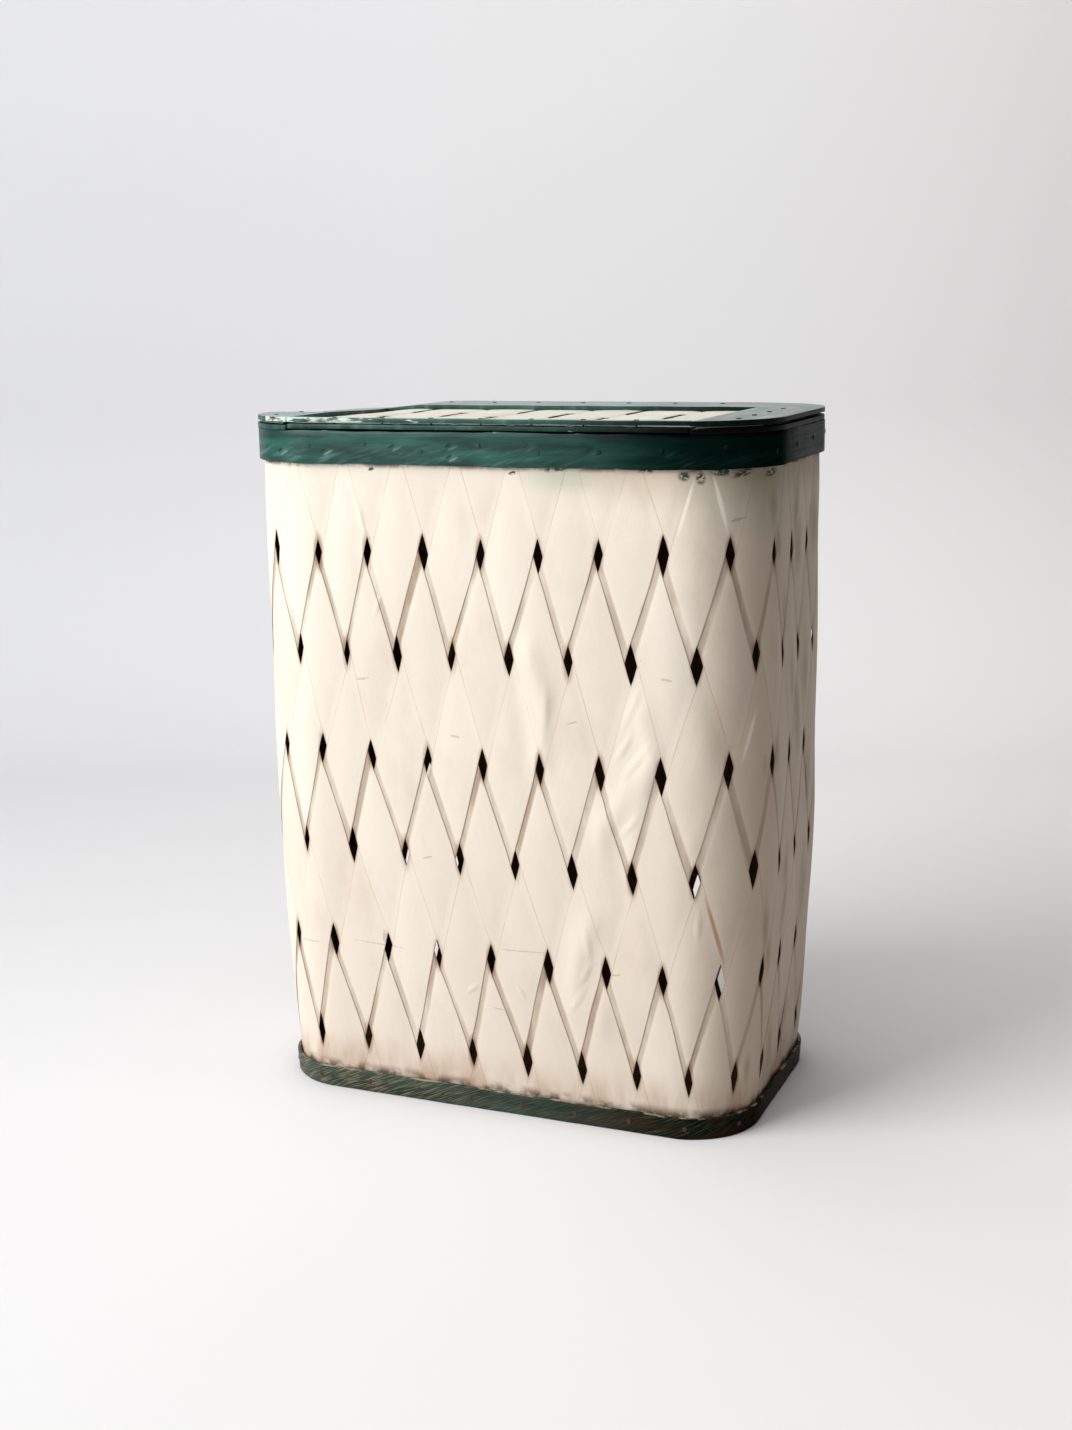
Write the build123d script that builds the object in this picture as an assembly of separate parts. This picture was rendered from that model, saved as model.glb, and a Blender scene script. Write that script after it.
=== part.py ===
from build123d import *
import math
import os

# Splint-wood hamper basket with a hinged lid: two families of wide wooden splints cross on a
# rounded, slightly tapered wall, held by bentwood bands at the rim and the base.
# Millimetres, +Z up, front face towards -Y. The origin is on the floor under the middle.

# Overall size
WIDTH = 500.0
DEPTH = 284.0
RIM_TOP = 624.0

# Wall outline and taper
BAND_THICKNESS = 3.4
FIT = 0.2
RIM_CORNER = 83.0
BASE_CORNER = 61.0
BASE_INSET_X = 17.0
BASE_INSET_Y = 8.5
TAPER_START = 0.56
TAPER_POWER = 1.5
TAPER_LEVELS = 3
CORNER_FACETS = 9

# Splints of the wall
SPLINT_COUNT = 26
SPLINT_THICKNESS = 1.4
SPLINT_GAP = 8.0
HOLE_ROW_SPACING = 92.9
HOLE_ROW_Z = 147.5
HOLE_PHASE = -0.03
SPLINT_FOOT = 1.0
SPLINT_TOP_DROP = 1.0

# Bands and bottom
RIM_BAND_HEIGHT = 29.0
HOOP_HEIGHT = 25.0
HOOP_THICKNESS = 3.5
HOOP_DROP = 0.5
BASE_BAND_HEIGHT = 20.0
BOTTOM_THICKNESS = 12.0
SCARF_LENGTH = 60.0
SCARF_SLIT = 0.3

# Nails
NAIL_COUNT = 26
NAIL_HEAD_RADIUS = 2.2
NAIL_HEAD_HEIGHT = 0.7
NAIL_SHANK_RADIUS = 0.8
RIM_NAIL_LENGTH = 9.5
RIM_NAIL_DROP = 15.0
RIM_NAIL_STAGGER = 4.0
BASE_NAIL_LENGTH = 15.0
BASE_NAIL_Z = 10.0
BASE_NAIL_SHIFT = 0.5

# Lid
LID_LIFT = 0.3
LID_BOARD = 4.0
STRIP_LIFT = 1.7
END_BOARD_WIDTH = 62.0
BUTT_GAP = 0.6
FRONT_STRIP_WIDTH = 14.0
BACK_STRIP_WIDTH = 76.0
LOWER_FRONT_WIDTH = 50.0
LOWER_BACK_WIDTH = 70.0
LID_SPLINT_GAP = 8.0
LONG_SPLINT_COUNT = 3
LONG_SIDE_GAP = 5.0
CROSS_SPLINT_COUNT = 9
CROSS_END_GAP = 11.0
LID_SETBACK = 3.0
LID_NAIL_EDGE = 7.0
LID_NAIL_LENGTH = 8.5
LID_NAIL_PITCH = 47.0
LID_NAIL_BACK_EDGE = 30.0

# Hinges
HINGE_BAY = 2.5
HINGE_LENGTH = 38.0
LEAF_THICKNESS = 1.2
LEAF_HEIGHT = 20.0
LEAF_DEPTH = 19.0
KNUCKLE_RADIUS = 2.1
KNUCKLE_GAP = 0.3
PIN_RADIUS = 1.0
PIN_CLEARANCE = 0.05
PIN_OVERHANG = 0.6
LEAF_CLEAR = 0.3
SCREW_RADIUS = 1.1
SCREW_HEAD_RADIUS = 2.1
SCREW_HEAD_HEIGHT = 0.5
LID_SCREW_HEAD_HEIGHT = 0.2
SCREW_CLEARANCE = 0.1
SCREW_SPREAD = 24.0
BAND_SCREW_LENGTH = 8.0
LID_SCREW_LENGTH = 3.4

# Sizes and places that follow from those above
WALL_X = WIDTH / 2 - BAND_THICKNESS - FIT
WALL_Y = DEPTH / 2 - BAND_THICKNESS - FIT
WALL_CORNER = RIM_CORNER - BAND_THICKNESS - FIT
INNER_PLY = SPLINT_THICKNESS + FIT
WALL_BUILD = 2 * SPLINT_THICKNESS + 2 * FIT
STRIP_BASE = RIM_TOP + STRIP_LIFT
CROSS_BASE = STRIP_BASE + LID_BOARD
LONG_BASE = CROSS_BASE - SPLINT_THICKNESS
UPPER_BASE = CROSS_BASE + SPLINT_THICKNESS
LID_TOP = UPPER_BASE + LID_BOARD
END_INNER_X = WIDTH / 2 - END_BOARD_WIDTH
LOWER_FRONT_Y = LOWER_FRONT_WIDTH - DEPTH / 2
LOWER_BACK_Y = DEPTH / 2 - LOWER_BACK_WIDTH
LONG_PITCH = (LOWER_BACK_Y - LOWER_FRONT_Y - 2 * LONG_SIDE_GAP + LID_SPLINT_GAP) / LONG_SPLINT_COUNT
CROSS_PITCH = (WIDTH - 2 * CROSS_END_GAP + LID_SPLINT_GAP) / CROSS_SPLINT_COUNT
STRIP_LENGTH = 2 * (END_INNER_X - BUTT_GAP)
UPPER_BACK_Y = DEPTH / 2 - BACK_STRIP_WIDTH
PIN_Y = DEPTH / 2 + LEAF_CLEAR + KNUCKLE_RADIUS
PIN_Z = STRIP_BASE - LEAF_THICKNESS / 2
KNUCKLE_LENGTH = (HINGE_LENGTH - 2 * KNUCKLE_GAP) / 3


LEVELS = [RIM_TOP * (1 - TAPER_START) * step / TAPER_LEVELS for step in range(TAPER_LEVELS + 1)] + [RIM_TOP]


def curve(z):
    """Share of the base inset that the wall's curve has reached at height z."""
    down = 1 - z / RIM_TOP
    return max(0.0, (down - TAPER_START) / (1 - TAPER_START)) ** TAPER_POWER


def taper(z):
    """The same share, straight between the levels so that the wall is made of flat facets."""
    step = next(i for i in range(1, len(LEVELS)) if z <= LEVELS[i] + 1e-9)
    low, high = LEVELS[step - 1], LEVELS[step]
    return curve(low) + (curve(high) - curve(low)) * (z - low) / (high - low)


def wall_level(z, depth=0.0):
    """Half width, half depth and corner radius of the wall at height z, depth inside its face."""
    inset = taper(z)
    corner = WALL_CORNER - (WALL_CORNER - BASE_CORNER) * inset
    return WALL_X - BASE_INSET_X * inset - depth, WALL_Y - BASE_INSET_Y * inset - depth, corner - depth


def outline_points(z, depth):
    """Points of the wall's outline at height z, from the right end of the front flat, leftwards round."""
    half_x, half_y, corner = wall_level(z, depth)
    points = []
    for quarter, (side_x, side_y) in enumerate(((1, -1), (1, 1), (-1, 1), (-1, -1))):
        for facet in range(CORNER_FACETS + 1):
            angle = math.radians(90 * (quarter - 1 + facet / CORNER_FACETS))
            x = side_x * (half_x - corner) + corner * math.cos(angle)
            y = side_y * (half_y - corner) + corner * math.sin(angle)
            points.append(Vector(x, y, z))
    return points


RIM_POINTS = outline_points(RIM_TOP, 0.0)
FACET_WIDTHS = [(RIM_POINTS[i] - RIM_POINTS[i - 1]).length for i in range(len(RIM_POINTS))]
FACET_STARTS = [sum(FACET_WIDTHS[:i]) - FACET_WIDTHS[0] / 2 for i in range(len(FACET_WIDTHS))]
GIRTH = sum(FACET_WIDTHS)
PITCH = GIRTH / SPLINT_COUNT
LEAN = PITCH / 2 / HOLE_ROW_SPACING
HINGE_X = HINGE_BAY * (GIRTH + 2 * math.pi * (BAND_THICKNESS + FIT)) / NAIL_COUNT


def wall_point(facet, along, z, depth):
    """Point on a facet of the wall, along being its distance round the rim from the front's middle."""
    points = outline_points(z, depth)
    share = (along - FACET_STARTS[facet]) / FACET_WIDTHS[facet]
    return points[facet - 1] + (points[facet] - points[facet - 1]) * share


def clip(shape, edge, keep):
    """Part of a flat outline in (along, z) where keep * along is at most keep * edge."""
    kept = []
    for (a, za), (b, zb) in zip(shape, shape[1:] + shape[:1]):
        if keep * (a - edge) <= 1e-9:
            kept.append((a, za))
        if (a - edge) * (b - edge) < -1e-12:
            kept.append((edge, za + (zb - za) * (edge - a) / (b - a)))
    return kept if len(kept) > 2 else []


def splint_cells(number, lean):
    """A splint cut into flat cells, one for each facet and level of the wall that it crosses."""
    low_edge = (number + HOLE_PHASE) * PITCH + SPLINT_GAP / 2
    high_edge = low_edge + PITCH - SPLINT_GAP
    heights = [SPLINT_FOOT] + LEVELS[1:-1] + [RIM_TOP - SPLINT_TOP_DROP]
    cells = []
    for low, high in zip(heights, heights[1:]):
        drift_low, drift_high = (lean * LEAN * (z - HOLE_ROW_Z) for z in (low, high))
        strip = [(low_edge + drift_low, low), (high_edge + drift_low, low),
                 (high_edge + drift_high, high), (low_edge + drift_high, high)]
        for turn in (-GIRTH, 0.0, GIRTH):
            for facet, width in enumerate(FACET_WIDTHS):
                start = FACET_STARTS[facet]
                cell = clip(clip([(a + turn, z) for a, z in strip], start, -1), start + width, 1)
                if cell:
                    cells.append((facet, cell))
    return cells


def flat_faces(corners):
    """One face through the points if they lie in a plane, or else triangles."""
    first, second, third = corners[:3]
    normal = (second - first).cross(third - first)
    if all(abs(normal.dot(point - first)) <= 1e-7 * normal.length for point in corners[3:]):
        return [Face(Wire.make_polygon(corners))]
    return [Face(Wire.make_polygon([first, corners[i], corners[i + 1]])) for i in range(1, len(corners) - 1)]


def splint(number, lean, depth):
    """One wall splint as a closed solid: its outer and inner cells, and the edges between them."""
    faces, rim = [], {}
    for facet, cell in splint_cells(number, lean):
        skins = (depth, depth + SPLINT_THICKNESS)
        outer, inner = ([wall_point(facet, along, z, skin) for along, z in cell] for skin in skins)
        faces += flat_faces(outer) + flat_faces(inner)
        for i in range(len(cell)):
            edge = [outer[i - 1], outer[i], inner[i], inner[i - 1]]
            key = frozenset((round(point.X, 5), round(point.Y, 5), round(point.Z, 5)) for point in edge[:2])
            if len(key) < 2:
                continue
            if key in rim:
                del rim[key]
            else:
                rim[key] = edge
    for edge in rim.values():
        faces += flat_faces(edge)
    return Solid(Shell(faces))


def splint_side(number, lean):
    """Side of the basket that a splint crosses half way up."""
    along = (number + 0.5 + HOLE_PHASE) * PITCH + lean * LEAN * (RIM_TOP / 2 - HOLE_ROW_Z)
    place = (along + GIRTH / 2) % GIRTH - GIRTH / 2
    front_reach = (FACET_WIDTHS[0] + CORNER_FACETS * FACET_WIDTHS[1]) / 2
    if abs(place) < front_reach:
        return "front"
    if abs(place) > GIRTH / 2 - front_reach:
        return "back"
    return "right" if place > 0 else "left"


def splint_family(lean, depth):
    """The splints of one family, sorted by side."""
    sides = {"front": [], "right": [], "back": [], "left": []}
    for number in range(SPLINT_COUNT):
        sides[splint_side(number, lean)].append(splint(number, lean, depth))
    return sides


def outline(half_x, half_y, corner, z):
    return Pos(0, 0, z) * RectangleRounded(2 * half_x, 2 * half_y, corner)


def slab(inset, low, high):
    """The lid's outline, drawn in by inset, as a plate from low to high."""
    face = outline(WIDTH / 2 - inset, DEPTH / 2 - inset, RIM_CORNER - inset, low)
    return extrude(face, high - low)


def wall_solid(depth, low, high):
    """Solid filled up to a depth inside the wall's face, following its taper."""
    return loft([outline(*wall_level(z, depth), z) for z in (low, high)], ruled=True)


def scarf(band, thickness, middle_z, height, reach_y):
    """Open a band at the back with the slanting slit of its lapped ends."""
    slant = math.degrees(math.atan2(thickness, SCARF_LENGTH))
    slit = Box(SCARF_LENGTH * 2, SCARF_SLIT, height * 2)
    return band - Pos(0, reach_y - thickness / 2, middle_z) * Rot(0, 0, slant) * slit


def rim_band():
    low = RIM_TOP - RIM_BAND_HEIGHT
    ring = slab(0, low, RIM_TOP) - slab(BAND_THICKNESS, low, RIM_TOP)
    return scarf(ring, BAND_THICKNESS, RIM_TOP, RIM_BAND_HEIGHT * 2, DEPTH / 2)


def inner_hoop():
    outside = BAND_THICKNESS + WALL_BUILD + 2 * FIT
    high = RIM_TOP - HOOP_DROP
    low = high - HOOP_HEIGHT
    ring = slab(outside, low, high) - slab(outside + HOOP_THICKNESS, low, high)
    return scarf(ring, HOOP_THICKNESS, RIM_TOP, HOOP_HEIGHT * 2, DEPTH / 2 - outside)


def base_band():
    ring = wall_solid(-BAND_THICKNESS - FIT, 0, BASE_BAND_HEIGHT) - wall_solid(-FIT, 0, BASE_BAND_HEIGHT)
    reach = wall_level(BASE_BAND_HEIGHT / 2)[1] + FIT + BAND_THICKNESS
    return scarf(ring, BAND_THICKNESS, 0, BASE_BAND_HEIGHT * 2, reach)


def bottom_board():
    return wall_solid(WALL_BUILD + FIT, 0, BOTTOM_THICKNESS)


def nail(head_radius, head_height, shank_radius, length):
    """A nail with a low domed head, its shank pointing down from the plane under the head."""
    head = Pos(0, 0, head_height / 2) * Cylinder(head_radius, head_height)
    head = chamfer(head.edges().sort_by(Axis.Z)[-1], head_height * 0.6)
    return head + Pos(0, 0, -length / 2) * Cylinder(shank_radius, length)


def round_spot(share, z, depth):
    """Point a share of the way round the smooth wall, from its front middle, and its outward direction."""
    half_x, half_y, corner = wall_level(z, depth)
    flats, arc = (2 * (half_x - corner), 2 * (half_y - corner)), corner * math.pi / 2
    left = share * (2 * sum(flats) + 4 * arc) + flats[0] / 2
    spot = Vector(corner - half_x, -half_y, z)
    for quarter in range(4):
        ahead = Vector(1, 0, 0).rotate(Axis.Z, 90 * quarter)
        out, flat = ahead.rotate(Axis.Z, -90), flats[quarter % 2]
        if left <= flat:
            return spot + ahead * left, out
        centre = spot + ahead * flat - out * corner
        if left <= flat + arc:
            out = out.rotate(Axis.Z, math.degrees((left - flat) / corner))
            return centre + out * corner, out
        left -= flat + arc
        spot = centre + ahead * corner
    return spot + Vector(left, 0, 0), Vector(0, -1, 0)


def nails_round(length, heights, shift):
    """Nails driven in square to the outside of a band, evenly round it, at heights taken in turn."""
    one = nail(NAIL_HEAD_RADIUS, NAIL_HEAD_HEIGHT, NAIL_SHANK_RADIUS, length)
    placed = []
    for number in range(NAIL_COUNT):
        z = heights[number % len(heights)]
        spot, out = round_spot((number + shift) / NAIL_COUNT, z, -BAND_THICKNESS - FIT)
        placed.append(Plane(origin=spot, z_dir=out).location * one)
    return Compound(placed)


def rim_nails():
    z = RIM_TOP - RIM_NAIL_DROP
    heights = (z + RIM_NAIL_STAGGER, z - RIM_NAIL_STAGGER / 2, z, z + RIM_NAIL_STAGGER / 2)
    return nails_round(RIM_NAIL_LENGTH, heights, 0)


def base_nails():
    return nails_round(BASE_NAIL_LENGTH, (BASE_NAIL_Z,), BASE_NAIL_SHIFT)


def block(x_low, x_high, y_low, y_high, z_low, z_high):
    size = (x_high - x_low, y_high - y_low, z_high - z_low)
    return Pos((x_low + x_high) / 2, (y_low + y_high) / 2, (z_low + z_high) / 2) * Box(*size)


def lid_piece(x_low, x_high, y_low, y_high, low):
    """A flat board of the lid's frame, cut to the lid's rounded outline."""
    return slab(0, low, low + LID_BOARD) & block(x_low, x_high, y_low, y_high, low, low + LID_BOARD)


def lid_frame():
    """The eight boards of the lid's frame, four under the woven panel and four over it."""
    half_x, half_y, strip = WIDTH / 2, DEPTH / 2, STRIP_LENGTH / 2
    lower_end = RIM_TOP + LID_LIFT
    upper_end_y = UPPER_BACK_Y - BUTT_GAP
    return {
        "lid_lower_left_end": lid_piece(-half_x, -END_INNER_X, -half_y, half_y, lower_end),
        "lid_lower_right_end": lid_piece(END_INNER_X, half_x, -half_y, half_y, lower_end),
        "lid_lower_front_strip": lid_piece(-strip, strip, -half_y, LOWER_FRONT_Y, STRIP_BASE),
        "lid_lower_back_strip": lid_piece(-strip, strip, LOWER_BACK_Y, half_y, STRIP_BASE),
        "lid_upper_left_end": lid_piece(-half_x, -END_INNER_X, -half_y, upper_end_y, UPPER_BASE),
        "lid_upper_right_end": lid_piece(END_INNER_X, half_x, -half_y, upper_end_y, UPPER_BASE),
        "lid_upper_front_strip": lid_piece(-strip, strip, -half_y, FRONT_STRIP_WIDTH - half_y, UPPER_BASE),
        "lid_upper_back_strip": lid_piece(-half_x, half_x, UPPER_BACK_Y, half_y, UPPER_BASE),
    }


def lid_long_splints():
    """Splints that run the length of the lid, lying on the lower end boards."""
    reach = slab(LID_SETBACK, LONG_BASE, CROSS_BASE)
    placed = []
    for number in range(LONG_SPLINT_COUNT):
        y = LOWER_FRONT_Y + LONG_SIDE_GAP + number * LONG_PITCH
        strip = block(-WIDTH / 2, WIDTH / 2, y, y + LONG_PITCH - LID_SPLINT_GAP, LONG_BASE, CROSS_BASE)
        placed.append(reach & strip)
    return Compound(placed)


def lid_cross_splints():
    """Splints that run from the front of the lid to its back, over the long ones."""
    reach = slab(LID_SETBACK, CROSS_BASE, UPPER_BASE)
    placed = []
    for number in range(CROSS_SPLINT_COUNT):
        x = CROSS_END_GAP - WIDTH / 2 + number * CROSS_PITCH
        strip = block(x, x + CROSS_PITCH - LID_SPLINT_GAP, -DEPTH / 2, DEPTH / 2, CROSS_BASE, UPPER_BASE)
        placed.append(reach & strip)
    return Compound(placed)


def lid_nails():
    """Nails down through the frame, along the front and back strips and the end boards."""
    one = nail(NAIL_HEAD_RADIUS, NAIL_HEAD_HEIGHT, NAIL_SHANK_RADIUS, LID_NAIL_LENGTH)
    front_y = LID_NAIL_EDGE - DEPTH / 2
    back_y = DEPTH / 2 - LID_NAIL_BACK_EDGE
    end_x = WIDTH / 2 - END_BOARD_WIDTH / 2
    half_count = int((END_INNER_X - LID_NAIL_EDGE) / LID_NAIL_PITCH)
    spots = [(n * LID_NAIL_PITCH, y) for n in range(-half_count, half_count + 1) for y in (front_y, back_y)]
    spots += [(side * end_x, n * LID_NAIL_PITCH - LID_NAIL_EDGE) for side in (-1, 1) for n in (-2, -1, 0, 1)]
    return Compound([Pos(x, y, LID_TOP) * one for x, y in spots])


def barrel(x, radius, length):
    """A round bar along the hinge's axis, its middle at x."""
    return Pos(x, PIN_Y, PIN_Z) * Rot(0, 90, 0) * Cylinder(radius, length)


def hinge_leaf(plate, places, screw_places):
    """A leaf: its plate and knuckles, with the holes for the pin and the screws."""
    leaf = plate
    for x in places:
        leaf += barrel(x, KNUCKLE_RADIUS, KNUCKLE_LENGTH)
    leaf -= barrel(0, PIN_RADIUS + PIN_CLEARANCE, 2 * HINGE_LENGTH)
    for place in screw_places:
        leaf -= place * Cylinder(SCREW_RADIUS + SCREW_CLEARANCE, 4 * LEAF_THICKNESS)
    return leaf


def pair(shape):
    """The same piece at the left and the right hinge."""
    return Compound([Pos(-HINGE_X, 0, 0) * shape, Pos(HINGE_X, 0, 0) * shape])


KNUCKLE_STEP = KNUCKLE_LENGTH + KNUCKLE_GAP
BAND_SCREW_PLACES = [
    Pos(side * SCREW_SPREAD / 2, DEPTH / 2 + LEAF_THICKNESS, PIN_Z - LEAF_HEIGHT * 0.6) * Rot(-90, 0, 0)
    for side in (-1, 1)]
LID_SCREW_PLACES = [
    Pos(side * SCREW_SPREAD / 2, DEPTH / 2 - LEAF_DEPTH * 0.6, PIN_Z - LEAF_THICKNESS / 2) * Rot(180, 0, 0)
    for side in (-1, 1)]


def fixed_leaf():
    """Leaf on the back of the rim band, with the middle knuckle."""
    half, face_y, neck = HINGE_LENGTH / 2, DEPTH / 2, KNUCKLE_LENGTH / 2
    low, neck_top = PIN_Z - LEAF_HEIGHT, PIN_Z - PIN_RADIUS - PIN_CLEARANCE
    plate = block(-half, half, face_y, face_y + LEAF_THICKNESS, low, PIN_Z - KNUCKLE_RADIUS - KNUCKLE_GAP)
    plate += block(-neck, neck, face_y, face_y + LEAF_THICKNESS, low, neck_top)
    return hinge_leaf(plate, (0,), BAND_SCREW_PLACES)


def lid_leaf():
    """Leaf under the lid's back strip, with the two outer knuckles and a notch for the middle one."""
    half, thick, notch = HINGE_LENGTH / 2, LEAF_THICKNESS / 2, KNUCKLE_LENGTH / 2 + KNUCKLE_GAP
    plate = block(-half, half, DEPTH / 2 - LEAF_DEPTH, PIN_Y, PIN_Z - thick, PIN_Z + thick)
    plate -= block(-notch, notch, DEPTH / 2 - LEAF_CLEAR, PIN_Y + thick, PIN_Z - 2 * thick, PIN_Z + 2 * thick)
    return hinge_leaf(plate, (-KNUCKLE_STEP, KNUCKLE_STEP), LID_SCREW_PLACES)


def hinge_pin():
    return barrel(0, PIN_RADIUS, HINGE_LENGTH + 2 * PIN_OVERHANG)


def screws(places, length, head_height):
    one = nail(SCREW_HEAD_RADIUS, head_height, SCREW_RADIUS, length)
    return pair(Compound([place * one for place in places]))


def save(name, shape):
    export_step(shape, f"parts/{name}.step")


os.makedirs("parts", exist_ok=True)

for side, pieces in splint_family(-1, 0.0).items():
    save(f"outer_splints_{side}", Compound(pieces))
for side, pieces in splint_family(1, INNER_PLY).items():
    save(f"inner_splints_{side}", Compound(pieces))

save("rim_band", rim_band())
save("rim_inner_hoop", inner_hoop())
save("base_band", base_band())
save("bottom_board", bottom_board())
save("rim_nails", rim_nails())
save("base_nails", base_nails())

for name, board in lid_frame().items():
    save(name, board)
save("lid_long_splints", lid_long_splints())
save("lid_cross_splints", lid_cross_splints())
save("lid_nails", lid_nails())

save("hinge_fixed_leaves", pair(fixed_leaf()))
save("hinge_lid_leaves", pair(lid_leaf()))
save("hinge_pins", pair(hinge_pin()))
save("hinge_band_screws", screws(BAND_SCREW_PLACES, BAND_SCREW_LENGTH, SCREW_HEAD_HEIGHT))
save("hinge_lid_screws", screws(LID_SCREW_PLACES, LID_SCREW_LENGTH, LID_SCREW_HEAD_HEIGHT))
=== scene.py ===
# %% [markdown]
# A splint-wood hamper, dressed for its portrait. The imported model gives every piece its place and size, so
# the first step loads it as a fixed frame, from which the box of any part can be read.

# %% Load the frame
import math
import random

import bmesh
import bpy
import numpy as np
from mathutils import Matrix, Vector


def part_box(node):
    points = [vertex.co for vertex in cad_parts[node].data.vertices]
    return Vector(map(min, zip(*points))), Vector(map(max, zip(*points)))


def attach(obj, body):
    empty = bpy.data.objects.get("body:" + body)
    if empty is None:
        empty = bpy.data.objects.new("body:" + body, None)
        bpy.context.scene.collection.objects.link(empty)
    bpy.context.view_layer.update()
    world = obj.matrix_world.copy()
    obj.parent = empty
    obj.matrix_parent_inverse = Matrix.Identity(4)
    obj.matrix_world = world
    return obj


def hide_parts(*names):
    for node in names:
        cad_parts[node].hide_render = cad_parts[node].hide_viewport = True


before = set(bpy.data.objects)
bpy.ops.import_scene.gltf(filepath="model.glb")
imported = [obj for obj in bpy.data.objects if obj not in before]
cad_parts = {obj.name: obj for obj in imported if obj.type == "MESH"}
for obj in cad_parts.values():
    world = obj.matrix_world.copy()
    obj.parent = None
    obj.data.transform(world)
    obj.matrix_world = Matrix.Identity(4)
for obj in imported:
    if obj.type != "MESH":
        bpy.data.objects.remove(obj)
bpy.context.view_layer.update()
MM = 0.001

# %% [markdown]
# The camera comes first, because everything is judged through it. It stands a little to the right of the
# hamper, at about the height of its lid, and looks down by twelve degrees. A vertical sensor fit keeps the
# picture's height fixed, so the lens means the same in any frame width.

# %% Camera
CAMERA_PLACE = Vector((0.6696, -1.6449, 0.7346))
CAMERA_YAW, CAMERA_PITCH, CAMERA_ROLL = (math.radians(a) for a in (22.41, 12.28, -0.91))

camera_data = bpy.data.cameras.new("portrait_camera")
camera_data.sensor_fit = "VERTICAL"
camera_data.sensor_height = 36.0
camera_data.lens = 48.11
camera = bpy.data.objects.new("portrait_camera", camera_data)
bpy.context.scene.collection.objects.link(camera)
turn = (Matrix.Rotation(CAMERA_YAW, 4, "Z") @ Matrix.Rotation(math.pi / 2 - CAMERA_PITCH, 4, "X")
        @ Matrix.Rotation(CAMERA_ROLL, 4, "Z"))
camera.matrix_world = Matrix.Translation(CAMERA_PLACE) @ turn
bpy.context.scene.camera = camera
bpy.context.scene.view_settings.view_transform = "Standard"
print("camera at", tuple(CAMERA_PLACE))

# %% [markdown]
# Materials are nets of nodes, and they read best when one short call makes a node, sets it and links it. A
# value that is itself a socket is linked, and any other value is written into the socket. Colours are given
# as the 8-bit values that they should show as.

# %% Node helper
def colour(tone):
    """Linear colour of an 8-bit screen colour; a socket stays as it is."""
    if isinstance(tone, bpy.types.NodeSocket):
        return tone
    parts = [v / 255 for v in tone]
    return (*(v / 12.92 if v <= 0.04045 else ((v + 0.055) / 1.055) ** 2.4 for v in parts), 1.0)


class Net:
    """One node tree, with a short call for each kind of node that the paints need."""

    def __init__(self, tree):
        self.tree = tree

    def give(self, value, socket):
        """Link a socket into an input, or write a plain value there."""
        if isinstance(value, bpy.types.NodeSocket):
            self.tree.links.new(value, socket)
        else:
            socket.default_value = value

    def add(self, kind, inputs=None, **settings):
        """A new node with its settings made and its inputs filled."""
        node = self.tree.nodes.new("ShaderNode" + kind)
        for key, value in settings.items():
            setattr(node, key, value)
        for key, value in (inputs or {}).items():
            self.give(value, node.inputs[key])
        return node

    def maths(self, operation, first, second=0.0):
        return self.add("Math", {0: first, 1: second}, operation=operation).outputs[0]

    def times(self, first, *others):
        for value in others:
            first = self.maths("MULTIPLY", first, value)
        return first

    def plus(self, first, second):
        return self.maths("ADD", first, second)

    def minus(self, first, second):
        return self.maths("SUBTRACT", first, second)

    def ramp(self, value, low, high, low_out=0.0, high_out=1.0):
        """A smooth step from low to high."""
        return self.add("MapRange", {0: value, 1: low, 2: high, 3: low_out, 4: high_out},
                        interpolation_type="SMOOTHSTEP").outputs[0]

    def mix(self, share, first, second, mode="MIX"):
        return self.add("Mix", {0: share, 6: colour(first), 7: colour(second)}, data_type="RGBA",
                        blend_type=mode).outputs[2]

    def coats(self, paint, *coats):
        """Lay one colour after another over the paint, each (share, colour) or (share, colour, mode)."""
        for share, tone, *mode in coats:
            paint = self.mix(share, paint, tone, *mode)
        return paint

    def noise(self, vector, scale, detail=3.0, rough=0.55):
        return self.add("TexNoise", {"Vector": vector, "Scale": scale, "Detail": detail,
                                     "Roughness": rough}).outputs["Fac"]

    def stretched(self, vector, scale):
        return self.add("VectorMath", {0: vector, 1: scale}, operation="MULTIPLY").outputs[0]

    def turned(self, vector, angle):
        return self.add("VectorRotate", {"Vector": vector, "Angle": angle}, rotation_type="Z_AXIS").outputs[0]

    def part(self, vector, axis):
        return self.add("SeparateXYZ", {0: vector}).outputs[axis]

    def place(self):
        """The point on the object itself."""
        return self.add("TexCoord").outputs["Object"]

    def uv(self, name):
        return self.add("UVMap", uv_map=name).outputs[0]

    def mask(self, name):
        """A number stored on the mesh."""
        return self.add("Attribute", attribute_name=name).outputs["Fac"]

    def group(self, group, **inputs):
        """The outputs of a group node, its inputs filled by name."""
        inputs = {key.replace("_", " "): value for key, value in inputs.items()}
        return self.add("Group", inputs, node_tree=group).outputs

    def bump(self, shader, height, distance, strength=1.0):
        node = self.add("Bump", {"Height": height, "Distance": distance, "Strength": strength})
        self.give(node.outputs[0], shader.inputs["Normal"])


def new_finish(name, rough, **settings):
    """A material, its net and its shader."""
    finish = bpy.data.materials.new(name)
    finish.use_nodes = True
    shader = finish.node_tree.nodes["Principled BSDF"]
    shader.inputs["Roughness"].default_value = rough
    for key, value in settings.items():
        shader.inputs[key.replace("_", " ")].default_value = value
    return finish, Net(finish.node_tree), shader


print("node helpers ready")

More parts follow.
